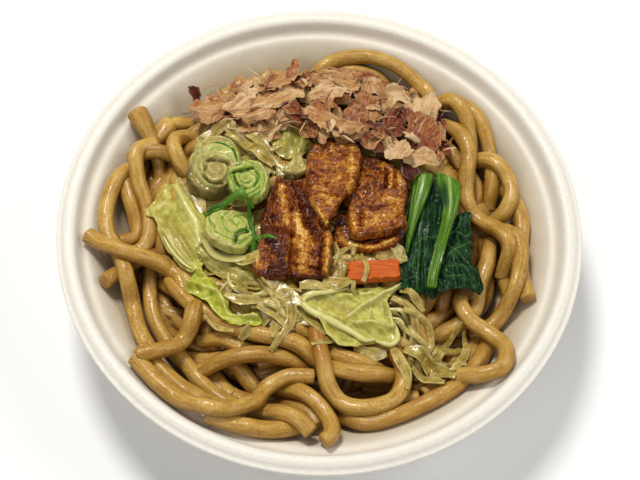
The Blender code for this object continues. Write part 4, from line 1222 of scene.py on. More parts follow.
def stem(name, finish, node, route, widths, slant):
    """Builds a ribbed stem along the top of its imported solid, cut aslant where it starts."""
    high = surface(node)
    line = smooth_route(route, 0.8)
    wide = spread(widths, len(line))
    z = moving(high.mean(*line.T, 1.5), 6, np.mean) - 0.42 * wide
    points, faces, along, around = strand(np.column_stack([line, z]), wide, 40, flatten=0.5)
    turn = around / wide.mean()
    folds = 0.26 * np.cos(9 * turn + 0.6) + 0.14 * grain(np.column_stack([turn * 3, along / 6]), 1.0, 4)
    points[:, 2] += folds * (np.sin(turn) > 0)
    points[:, 1] += slant * (points[:, 0] - route[0][0]) * smoothstep((points[:, 1] - route[0][1] + 9) / 9)
    # a painted highlight along the top near the cut end, then a paler streak along a rib further down
    pale = 0.85 * np.exp(-(((turn - 1.62) / 0.10) ** 2)) * smoothstep((24 - along) / 10)
    pale += 0.5 * np.exp(-(((turn - 2.6) / 0.12) ** 2)) * smoothstep((along - 20) / 6)
    # only the right stem, whose slant is negative, is dark on one side near its start
    dark = (smoothstep((turn - 1.75) / 0.25) * smoothstep((16 - along) / 5) * smoothstep((along - 3) / 5)
            * (slant < 0))
    piece = Piece()
    piece.add(points, faces, along=along, around=around, pale=pale, dark=dark * (turn < math.pi))
    piece.build(name, finish, [node])


def ringed(piece, node, corners, thickness, centre, radii, lines, base_green, rounding, layers):
    """Adds a slice of leek as one body, wound in layers: how many, and how far each stands out.

    Each line is its route, its width, and how much it rises, how much greener and how much darker it is. The
    darker lines are painted shade, in grooves and on a shaded side wall.
    """
    plane = resting_plane(node)
    step = 0.32
    outline = closed_outline(corners, step, 0.5, 3.0)
    count, rise = layers
    seed = len(node)

    def wound(x, y):
        """How much of a layer's crest and of the groove beside it is at each place."""
        u, v = (x - centre[0]) / radii[0], (y - centre[1]) / radii[1]
        place = np.column_stack([u, v])
        share = np.hypot(u, v) * (1 + 0.20 * grain(place, 0.62, seed) + 0.07 * grain(place, 0.2, 3))
        layer = (count * share + np.arctan2(v, u) / (2 * math.pi)) % 1
        crest = smoothstep((layer - 0.35) / 0.5) * (1 - smoothstep((layer - 0.92) / 0.08))
        groove = np.exp(-((layer / 0.14) ** 2)) + np.exp(-(((layer - 1) / 0.05) ** 2))
        return crest * smoothstep(count * share - 0.3), groove

    def drawn(x, y, kind):
        """The lines' rise, greenness or darkness, as the kind is 0, 1 or 2."""
        return strokes(x, y, [(*route, width, values[kind]) for route, width, *values in lines])

    def top(x, y, edge):
        spots = np.column_stack([x, y])
        curve = np.sqrt(1 - (1 - np.clip(edge / rounding, 0, 1)) ** 2)
        relief = rise * wound(x, y)[0] + drawn(x, y, 0) + 0.4 * grain(spots, 3.0) + 0.2 * grain(spots, 1.0, 3)
        return plane(x, y) + 0.25 * thickness + curve * (0.75 * thickness + relief)

    def thick(x, y, edge):
        return 0.25 * thickness + 0.75 * thickness * np.clip(edge / rounding, 0, 1)

    points, faces, _ = sheet(outline, step, top, thick)
    x, y = points[:, 0], points[:, 1]
    crest, groove = wound(x, y)
    shown = smoothstep(rise / 0.3)
    piece.add(points, faces, along=np.arctan2(y - centre[1], x - centre[0]) * np.mean(radii),
              around=np.hypot(x - centre[0], y - centre[1]),
              green=base_green + drawn(x, y, 1) + shown * (0.8 * (0.34 - base_green) * crest + 0.14 * groove),
              # painted shade in the grooves between the layers and along the darker lines
              deep=np.clip(drawn(x, y, 2) + 0.35 * shown * groove, 0, 0.92))


def lay_ribbon(piece, draw, heights, route, half, thickness, lift=0.0, curl=0.0, roll=0.0, ceiling=None,
               drape=4, **marks):
    """Lays a strip over the heights. half gives its half widths from one end to the other.

    drape is how many of its points on each side a point of it follows: the more, the stiffer it lies.
    """
    step = 0.8
    line = smooth_route(route, step)
    x, y = line.T
    seed = draw.uniform(0, 80)
    run = np.arange(len(line)) * step
    z = moving(heights.rest(x, y, 1.2), drape, np.mean) - 0.9 + lift + 0.3 * grain(run[:, None], 5.0, seed)
    if ceiling is not None:
        z = np.minimum(z, ceiling.rest(x, y, 1.6, below=True) + 0.8)
    widths = spread(half, len(line))
    sides = [widths * (1 + 0.18 * grain(run[:, None], 3.5, seed + k)) for k in (1, 2)]
    rolls = roll + 0.35 * grain(run[:, None], 7.0, seed + 3)
    points, faces, along, around, outward = ribbon(np.column_stack([line, z]), *sides, thickness, curl, rolls)
    points[:, 2] += 0.12 * grain(np.column_stack([around * 2.2, along * 0.3]), 1.0, seed)
    piece.add(points, faces, along=along, around=around, vein=0.55 * smoothstep((outward - 0.7) / 0.3),
              **{"tone": draw.uniform(-1, 1), **marks})


def flake(piece, draw, mat, corners, lift, red, heading):
    """Adds a broad shaving by its outline: draped over the heap, its edges turned up or down, with a fold."""
    outline = closed_outline(corners, 0.5, 0.9, 1.1)
    seed, middle = draw.uniform(0, 50), outline.mean(axis=0)
    way, side = ways(heading)
    base = float(mat.mean(np.array([middle[0]]), np.array([middle[1]]), 4.0)[0])
    tilt = draw.uniform(-0.14, 0.14, 2)
    fold, height = draw.uniform(-2.5, 2.5), draw.uniform(0.5, 1.5) * draw.choice((-1, 1))

    def top(x, y, edge):
        spots = np.column_stack([x, y])
        run, off = (spots - middle) @ way, (spots - middle) @ side
        turned = (1 - smoothstep(edge / 2.2)) * (0.2 + 2.4 * grain(spots, 4.0, seed))
        creased = 0.30 * grain(np.column_stack([off / 1.5, run / 9]), 1.0, seed + 2)
        folded = height * np.exp(-(((off - fold + 0.12 * run) / 1.3) ** 2))
        return (0.6 * mat.mean(x, y, 4.0) + 0.4 * base + lift + (spots - middle) @ tilt + turned + creased
                + folded + grain(spots, 6.0, seed + 1) + 0.16 * grain(spots, 1.3, seed + 3))

    points, faces, edge = sheet(outline, 0.55, top, lambda x, y, edge: SHAVING_THICKNESS + 0 * x)
    spots = points[:, :2]
    piece.add(points, faces, along=(spots - middle) @ way, around=(spots - middle) @ side,
              red=red + 0.14 * grain(spots, 4.0, seed + 4), tone=draw.uniform(-1, 1),
              # paler at the edge: painted light shining through it
              rim=1 - smoothstep(edge / 0.6))


def shaving(piece, draw, spot, long, wide, heading, pitch, roll, red, lift, heights, bend=None):
    """Adds one dried bonito shaving: a thin strip with torn edges, bent lengthwise and curled across."""
    step = max(0.45, long / 30)
    run = np.arange(-long / 2, long / 2 + step / 2, step)
    places = run[:, None]
    seed = draw.uniform(0, 60)
    tips = np.sqrt(np.clip(1 - (2 * np.abs(run) / (long * 1.04)) ** 2, 0.02, 1))
    # the half widths on either side
    bodies = []
    for k in (0, 1):
        torn = 0.78 + 0.30 * grain(places, long / 4, seed + k) + 0.20 * grain(places, 1.5, seed + 3 + k)
        bodies.append(np.maximum(0.5 * wide * tips * torn, 0.12))
    bend = draw.uniform(-0.010, 0.030) if bend is None else bend
    wander = 0.12 * long * grain(places, long / 1.6, seed + 8)
    way, side = ways(heading)
    flat = np.asarray(spot) + places * way + wander[:, None] * side
    base = heights.mean(flat[:, 0], flat[:, 1], 3.0)
    base = 0.6 * base + 0.4 * base.mean()
    z = base + lift + run * math.sin(pitch) - bend * run**2 + 0.4 * grain(places, 3.0, seed + 5)
    rolls = roll + 0.4 * grain(places, long / 1.5, seed + 6)
    curl = draw.uniform(-0.4, 0.9) / wide + 0.5 / wide * grain(places, long / 2, seed + 7)
    across = 4 if wide < 3 else 10
    points, faces, along, around, outward = ribbon(np.column_stack([flat, z]), *bodies, SHAVING_THICKNESS,
                                                   curl, rolls, across)
    points[:, 2] += 0.45 * grain(points[:, :2], 3.2, seed) + 0.2 * grain(points[:, :2], 1.4, seed + 1)
    lean = draw.uniform(-0.22, 0.22)
    piece.add(points, faces, along=along, around=around, tone=draw.uniform(-1, 1),
              # paler at the torn edges: painted light shining through them
              red=red + lean * 2 * around / wide, rim=smoothstep((outward - 0.78) / 0.22))


# ---------------------------------------------------------------- toppings


def make_pork(finish):
    """Five slices of fried pork."""
    # In each slice, the fatty strokes of negative strength along grooves are painted shade, and those along
    # raised ridges partly painted light
    slab("pork_left_slice", finish, "pork", "pork_left",
         ((-22, -17), (-23, -23), (-18, -26), (-9, -24.5), (-3, -24.5), (3, -23.6), (5, -17), (5, -8),
          (3, -1), (-1, 5), (-3, 13), (-6, 16), (-11, 14), (-16, 15), (-19, 8), (-21, -2), (-20.5, -10)), 5.6,
         step=0.34,
         ridges=(((-14.5, 11), (-13, 2), (-11, -5), 1.9, 1.2),
                 ((-9, 12), (-6, 4), (-2.5, -4), (-1, -8), 1.8, -2.0), ((-18.6, 12), (-19.4, -7), 0.9, 0.9),
                 ((-16.8, 13), (-16.4, -6), 0.6, -1.1), ((-12.6, 9), (-10.6, 2), 0.5, -0.9),
                 ((-5.4, 10), (-2, 2), 0.7, 0.9), ((2.9, -6), (2.8, -23), 1.2, 1.5),
                 ((0.9, -9), (0.6, -21), 0.5, -1.5), ((-9.4, -8), (-9.6, -24), 0.6, -2.0),
                 ((-21, -8.5), (-15, -7), (-10, -8.5), 1.0, -1.3), ((-8.5, -14.8), (0.5, -15.6), 0.5, -0.8),
                 ((-8.5, -19.8), (0.5, -20.4), 0.5, -0.9), ((-6, -11), (-5, -18), 2.2, 0.6),
                 ((-14, -12), (-15, -20), 2.4, 1.0), ((-8, -1), (-7.2, -6), 1.6, 1.0),
                 ((-16, -22.5), (2, -22.5), 0.6, -0.8)),
         fat=(((-14.6, 10), (-13, 2), (-11.4, -4), 1.6, 0.42), ((-8.3, -1), (-7.2, -6.5), 1.5, 0.62),
              ((-6, -9), (-5, -21), 3.4, 0.4), ((3, -6), (3, -22), 1.1, 0.5),
              ((-22, -16), (-20, -22), 1.8, 0.4), ((-9, 12), (-6, 4), (-2.5, -4), (-1, -8), 1.8, -0.16),
              ((-8.5, -14.8), (0.5, -15.6), 0.5, -0.3), ((-8.5, -20), (0.5, -20.6), 0.6, -0.3),
              ((-20, -8), (-16, -11), (-13, -16), (-12, -22), 2.4, -0.18),
              ((-17.6, 10), (-18, -6), 1.5, -0.08), ((-20, -24), (2, -24.4), 1.0, -0.2),
              ((0.9, -9), (0.6, -21), 0.5, -0.2)), base_fat=0.27, lumps=0.42, crags=0.35, spacing=1.2)
    slab("pork_under_slice", finish, "pork", "pork_under",
         ((16, -12), (25, -11.4), (30, -6), (29.5, 3), (17, 4), (6, 3), (3, -3), (6.6, -10.6)), 2.4,
         step=0.38, ridges=(((7, -9), (12, -10.6), (22, -10.4), (28, -6), 0.8, 0.7),),
         fat=(((6, -4), (8, -8), (12, -10.4), 1.3, 0.42), ((12, -10.6), (20, -11), (26, -8.4), 1.0, 0.5),
              ((5, -2), (8, -2), 1.6, -0.15)), base_fat=0.24, lean=0.2, crags=0.3, spacing=1.1)
    slab("pork_middle_slice", finish, "pork", "pork_slice",
         ((9.5, 3), (9.8, -6), (13, -9), (21, -8.4), (28, -5), (29.2, 2), (28, 9), (19, 10), (11, 9)), 3.4,
         step=0.34,
         ridges=(((11.4, 0), (12.2, -6.6), 1.1, 1.2), ((13, -7), (20, -7.4), (26, -5), 0.8, 0.9),
                 ((14.2, 1), (14.6, -4.5), 0.6, -1.2), ((16, 2.5), (20, 1.6), (25, 2.6), 0.7, -0.9),
                 ((17, -2), (24, -2.4), 0.5, -0.5), ((26.5, 4), (27.5, -2), 0.7, 0.6)),
         fat=(((11.4, 0), (12.2, -6.6), 1.2, 0.4), ((16, -3), (25, -1.6), 3.2, 0.26),
              ((22, 5), (27, 3), 1.8, 0.24), ((15, 3), (19, 2), (23, 3), 0.9, -0.25),
              ((13.6, 1), (14, -4), 0.6, -0.25)), base_fat=0.36, lean=0.5, lumps=0.42, crags=0.3, spacing=0.9)
    slab("pork_lump", finish, "pork", "pork_round",
         ((6.5, 12), (8.4, 6), (14, 3.6), (21, 4.6), (28.6, 5), (30.4, 15), (28, 21), (19, 26), (9, 25)), 6.6,
         step=0.34,
         ridges=(((15, 12), (16, 14), 4.2, 2.0), ((22.0, 6), (22.6, 13), (22.4, 20), 0.6, -1.8),
                 ((25.0, 6), (25.8, 13), (25.4, 20), 0.5, -1.3), ((10, 19.5), (15, 21), (20, 20), 0.7, -0.9),
                 ((10, 7.4), (15, 6.4), (20, 7.8), 0.8, 0.8), ((12, 9.4), (16, 8.6), (20, 10), 0.5, -0.8)),
         fat=(((15, 14), (17, 10), 3.4, -0.02), ((12, 7), (18, 7), 1.6, 0.12),
              ((22.4, 8), (22.8, 20), 0.7, -0.22), ((24, 7), (24.4, 20), 0.7, 0.3),
              ((27, 8), (27.4, 18), 0.8, 0.28), ((20, 22), (24, 23), 1.5, 0.25),
              ((12, 16), (15, 18), 0.8, 0.25), ((8, 20), (10, 10), 0.9, 0.16)), base_fat=0.34, lean=1.2,
         rounding=2.6, lumps=0.4, crags=0.3, spacing=1.2)
    slab("pork_top_slice", finish, "pork", "pork_top",
         ((-5.5, 9), (-4.6, 4.5), (-2, 0), (2.4, -6.6), (4.6, -2), (6.4, 3), (10.6, 8), (13, 16), (12.5, 26),
          (4, 28.5), (-6, 25)), 3.6, step=0.34,
         ridges=(((-4.4, 5.6), (0, 6.4), (6.5, 5.2), 0.6, -1.4), ((-4, 15), (1, 14.4), (5, 15), 0.6, -0.7),
                 ((7, 8), (7.4, 16), (7, 24), 0.6, -1.1), ((9.6, 9), (10, 24), 0.7, 0.8),
                 ((-3.5, 20), (1, 21), (5, 20), 0.9, 0.6), ((1.5, 3), (2.4, -4), 0.8, 0.6),
                 ((-3, 10.5), (5, 10), 0.5, -0.6), ((-4, 18), (4, 17.4), 0.5, -0.5)),
         fat=(((0, 23), (1, 16), (2, 9), 3.4, 0.04), ((1, 3), (2.4, -4), 1.8, 0.16),
              ((-4, 4.2), (-1.4, 0), (2.2, -5.6), 0.5, 0.4), ((9.3, 8), (9.8, 25), 1.2, 0.32),
              ((-4.4, 5.0), (0, 5.6), (6, 4.4), 0.5, 0.3), ((-5, 9), (-4.5, 16), 0.9, -0.2),
              ((5, 11), (6.5, 14), 1.2, 0.25)), base_fat=0.42, lean=0.05, lumps=0.34, crags=0.3, spacing=1.0)


def make_carrot(finish):
    """The one piece of carrot, cut square."""
    slab("carrot_baton", finish, "carrot", "carrot_slice",
         ((11, -25), (14.5, -25.2), (19, -24.5), (24, -23.8), (28.3, -23), (28.4, -19.5), (27.8, -15.4),
          (23, -15.4), (19, -15.8), (15, -16), (10.6, -16.6), (10.2, -21)), 3.7, step=0.5, ragged=0.15,
         rounding=0.8, lumps=0.08, lean=0.05)


def make_cabbage(finish, bright, clear):
    """Five leaves, some with rolled edges or strands of leaf along them."""
    leaf("cabbage_left_leaf", finish, "cabbage_left",
         ((-62.5, 1.5), (-59, -0.5), (-57, -7), (-53, -14), (-47.5, -20.5), (-43, -23), (-39.5, -19),
          (-39.5, -13), (-40, -6), (-42, 1), (-45.5, 6.5), (-50, 12), (-52, 13.5), (-57.5, 11), (-60.5, 6)),
         1.6, ruffle=0.6, wave=5.0, lean=-1.05, crease=(2.0, 11.0, 0.5), step=0.5,
         folds=(((-52, 10), (-48, 2), (-44, -5), (-41, -15), 2.3, 2.3), ((-58, 3), (-55, 6), 2.0, 0.9),
                ((-57, 9), (-52, 12), 1.2, 0.7), ((-55, -7), (-50, -14), (-45, -19), 1.1, 1.0),
                ((-52, -4), (-47, -12), (-43.5, -18), 0.9, -1.3), ((-57, -1), (-51, -3), 1.2, -0.8)),
         # the last of these strokes, at the leaf's left end, is not a vein but a painted highlight
         veins_and_highlights=(((-51, 9), (-47.6, 2), (-44, -5), (-41, -15), 1.7, 0.55), ((-57, 9), (-52, 12), 0.6, 0.4),
                ((-56, -5), (-51, -13), (-45, -20), 0.35, 0.7),
                ((-54, -6), (-50, -12), (-44.5, -18), 0.28, 0.6), ((-60, 3), (-56, 4.5), 0.9, 0.6)),
         stain=(((-53.8, 9), (-53.2, 5.5), 0.9, 0.75), ((-60, 5), (-58, 9), 1.3, 0.35)),
         dull=(((-55, -4), (-51, -10), (-46, -17), 3.3, 0.85),),
         cords=((((-41.5, -7), (-39.4, -10), (-39.2, -14), (-41, -18.5)), (0.6, 1.2, 1.2, 0.6), 0.2, 0.7),
                (((-55, -9), (-51.5, -14.5), (-47, -19.5), (-43.5, -22)), (0.3, 0.6, 0.6, 0.3), 0.5, 0.8)))
    leaf("cabbage_middle_leaf", clear, "cabbage_middle",
         ((-43, -15), (-38, -21), (-31, -25), (-24, -28), (-17, -27), (-19, -21), (-26, -17), (-34, -14),
          (-39, -12)), 1.0, ruffle=0.6, wave=4.0, lean=-0.4, crease=(1.4, 9.0, 0.5),
         folds=(((-40, -16), (-22, -23), 1.8, 1.0), ((-34, -22), (-30, -19), 1.4, -1.2),
                ((-25, -25), (-22, -23), 1.8, -1.6)),
         veins_and_highlights=(((-41, -15), (-20, -25), 0.4, 0.6), ((-38, -19), (-24, -26), 0.25, 0.5)),
         # these dull places are painted shade in the hollows of the folds above
         dull=(((-33, -22), (-30, -20), 1.8, 0.7), ((-25, -25), (-21, -23), 2.2, 0.9)),
         cords=((((-31, -22), (-30, -26.5), (-25.5, -30), (-20, -30), (-17, -27), (-18, -23), (-22, -21)),
                 (0.4, 0.8, 0.8, 0.8, 0.7, 0.4), 0.3, 0.8),))
    leaf("cabbage_bright_leaf", bright, "cabbage_front_left",
         ((-46, -28.5), (-41, -31), (-36.5, -34), (-32.5, -39), (-26, -41.5), (-18.5, -40.6), (-19.5, -37.6),
          (-26, -37.4), (-29, -35.6), (-30.5, -32), (-33, -29.5), (-36, -26), (-39, -23.5), (-41, -22)), 1.0,
         ruffle=0.9, wave=2.6, step=0.42, lean=-0.6, crease=(1.2, 6.0, 0.45), ragged=0.6,
         folds=(((-44, -27), (-38, -28.5), (-33.5, -30.5), (-31.5, -34), (-29, -38), (-20, -38.6), 0.9, 1.9),
                ((-36, -31), (-33.5, -36), 0.8, -1.0), ((-40, -24), (-37.5, -27), 1.0, 0.9)),
         veins_and_highlights=(((-39, -28), (-33.5, -30.5), (-31.5, -34), (-29, -38), (-20, -38.6), 0.5, 0.7),
                ((-45, -28.6), (-38, -31.5), (-33, -37.6), (-26, -40.6), 0.4, 0.4)))
    leaf("cabbage_front_leaf", finish, "cabbage_front",
         ((-4.5, -31.2), (-4, -34.4), (1, -38.4), (4, -43), (8, -46.7), (15, -47), (22, -45.2), (27.5, -44.6),
          (28.8, -41), (26.6, -36.4), (24.4, -30.6), (26.5, -27), (29.5, -24), (25, -24.4), (20, -25.6),
          (13, -26), (5, -27.2), (-2, -28)), 1.2, ruffle=0.6, wave=4.6, lean=-0.45, crease=(1.8, 9.0, 0.5),
         step=0.45,
         folds=(((29, -24), (22, -28.5), (16, -32.6), (11, -37), 1.1, 2.4),
                ((1, -31), (7, -32.5), (11, -34), 2.4, -1.8),
                ((15, -40.5), (21, -42), (25, -41.5), 2.0, -1.9), ((24.4, -31), (27, -39), 1.0, 1.4),
                ((13, -38.6), (20, -38), (26.5, -39), 0.9, 1.3), ((20, -27.5), (8, -29), 0.9, 1.0),
                ((5, -40.5), (12, -44.5), 1.2, -1.0)),
         veins_and_highlights=(((29, -24), (22, -28.5), (16, -32.6), (11, -37), 0.7, 0.85),
                ((13, -38.6), (20, -38), (26.5, -39), 0.45, 0.6), ((24.4, -31), (27, -39), 0.4, 0.6),
                ((20, -27.5), (8, -29), 0.4, 0.5), ((19, -31), (18, -38), 0.25, 0.5),
                ((22, -29.5), (24, -38), 0.25, 0.5), ((15, -40), (22, -44), 0.2, 0.5),
                ((17, -39), (25, -43.6), 0.2, 0.5), ((4, -30), (2, -36), 0.2, 0.4),
                ((9, -30.5), (6, -37), 0.2, 0.4)),
         # the first three dull places are painted shade in the hollows of the folds above
         dull=(((1, -31), (7, -32.5), (11, -34), 2.0, 0.55), ((5, -41), (12, -45), 1.6, 0.45),
               ((16, -41), (24, -42.4), 1.3, 0.35), ((16, -46.4), (24, -45.6), 1.0, 0.8)),
         cords=((((11, -26), (3, -28), (-2.5, -29.4), (-4.6, -32), (-2, -35.4), (5, -38.6), (12, -41.8),
                  (17, -45), (21, -44)), (0.5, 0.9, 1.1, 1.2, 1.3, 1.3, 1.2, 1.0, 0.5), 0.5, 0.75),
                (((21, -44.6), (26, -44.8), (28.6, -42), (27, -37)), (0.5, 0.9, 0.9, 0.4), 0.4, 0.7)))
    leaf("cabbage_back_leaf", finish, "cabbage_back",
         ((-20.5, 38), (-20, 32), (-17, 26.5), (-12, 25), (-6.5, 27.5), (-5, 33), (-9, 39), (-14, 42)), 1.2,
         ruffle=0.7, wave=3.6, lean=1.4, crease=(1.5, 8.0, 0.5),
         folds=(((-14, 40), (-15, 30), 2.2, 1.8), ((-8, 34), (-10, 28), 1.2, 1.0)),
         veins_and_highlights=(((-14, 40), (-12, 27), 0.5, 0.6), ((-18, 36), (-17, 29), 0.4, 0.5),
                ((-9, 36), (-8, 29), 0.4, 0.5)),
         dull=(((-15, 36), (-11, 28), 7.0, 0.55), ((-7, 34), (-7, 28), 2.0, 0.5)))


def make_greens(leafy, stalky):
    """Two leaves of komatsuna and two stems, each with the finish for its kind."""
    leaf("greens_left_leaf", leafy, "greens_leaf_left",
         ((31, 8), (30, -6), (29.2, -16), (29, -25), (32, -27.4), (37, -26.6), (41, -27), (43, -22),
          (43.5, -8), (43.5, 6), (43, 17), (39.5, 20.3), (36, 18), (33, 14)), 0.7, step=0.4, ruffle=0.5,
         wave=2.4, lean=1.55, crease=(1.25, 10.0, 1.0), ragged=0.5,
         folds=(((38.5, 19), (36, 0), (35, -26), 1.4, 0.8), ((33, 5), (31.5, -24), 0.9, 0.6),
                ((40.5, 8), (39.5, -8), 0.9, -0.9)),
         veins_and_highlights=(((37.6, 16), (36, 4), (35, -12), (34.4, -26), 0.2, 0.7),
                ((33.2, -8), (36.5, -4.6), (41, -3.4), 0.2, 0.8), ((33, -14), (36, -10), (39, -8), 0.16, 0.6),
                ((39.8, 10), (39, -4), (36.5, -14), (36.8, -24), 0.16, 0.5),
                ((32, 2), (35.5, 6), (37, 14), 0.16, 0.5), ((31.5, -18), (33.5, -13), (34, -6), 0.16, 0.6),
                ((31, -22), (33, -20), (35.5, -21), 0.16, 0.5)))
    leaf("greens_right_leaf", leafy, "greens_leaf_right",
         ((44, 3), (42, -12), (40, -25), (44, -27.5), (48, -25.4), (53, -23.6), (57.2, -23.6), (57.8, -18),
          (56, -14.4), (53.6, -12), (53.4, -4), (53.4, 4.6), (50, 4.4), (46.6, 2.4)), 0.7, step=0.4,
         ragged=0.7, ruffle=1.0, wave=2.2, lean=1.9, crease=(1.2, 4.0, 0.9),
         folds=(((49, 2), (49, -10), (51, -22), 1.2, 1.2), ((45, -6), (44, -24), 1.0, 0.8)),
         veins_and_highlights=(((45.5, -8), (50, -13.5), (56, -16.6), 0.2, 0.9),
                ((45, -12), (50, -8.4), (53, -6.6), 0.2, 0.8),
                ((45.5, -4), (48.6, -1), (49.6, 3.4), 0.2, 0.8),
                ((44.6, -17), (50, -16), (56, -20.6), 0.16, 0.7), ((46, -2), (51, -4.6), (53, -3), 0.16, 0.6),
                ((44, -22), (49, -20), (55, -22.4), 0.18, 0.7),
                ((47.6, -9), (46.6, -18), (48, -25), 0.16, 0.6)))
    stem("greens_left_stem", stalky, "greens_stem_left",
         ((36.3, 20.4), (35.2, 13), (33.4, 5), (31.8, -3), (30.7, -12)), (3.9, 3.1, 2.1, 1.3, 0.5), 0.1)
    stem("greens_right_stem", stalky, "greens_stem_right",
         ((44.8, 17.4), (45.2, 11), (45.2, 4), (44.1, -2), (42.7, -8), (41.1, -15), (39.5, -22),
          (39.0, -27.4)), (4.8, 4.0, 2.7, 2.1, 1.8, 1.9, 1.8, 1.7), -0.5)


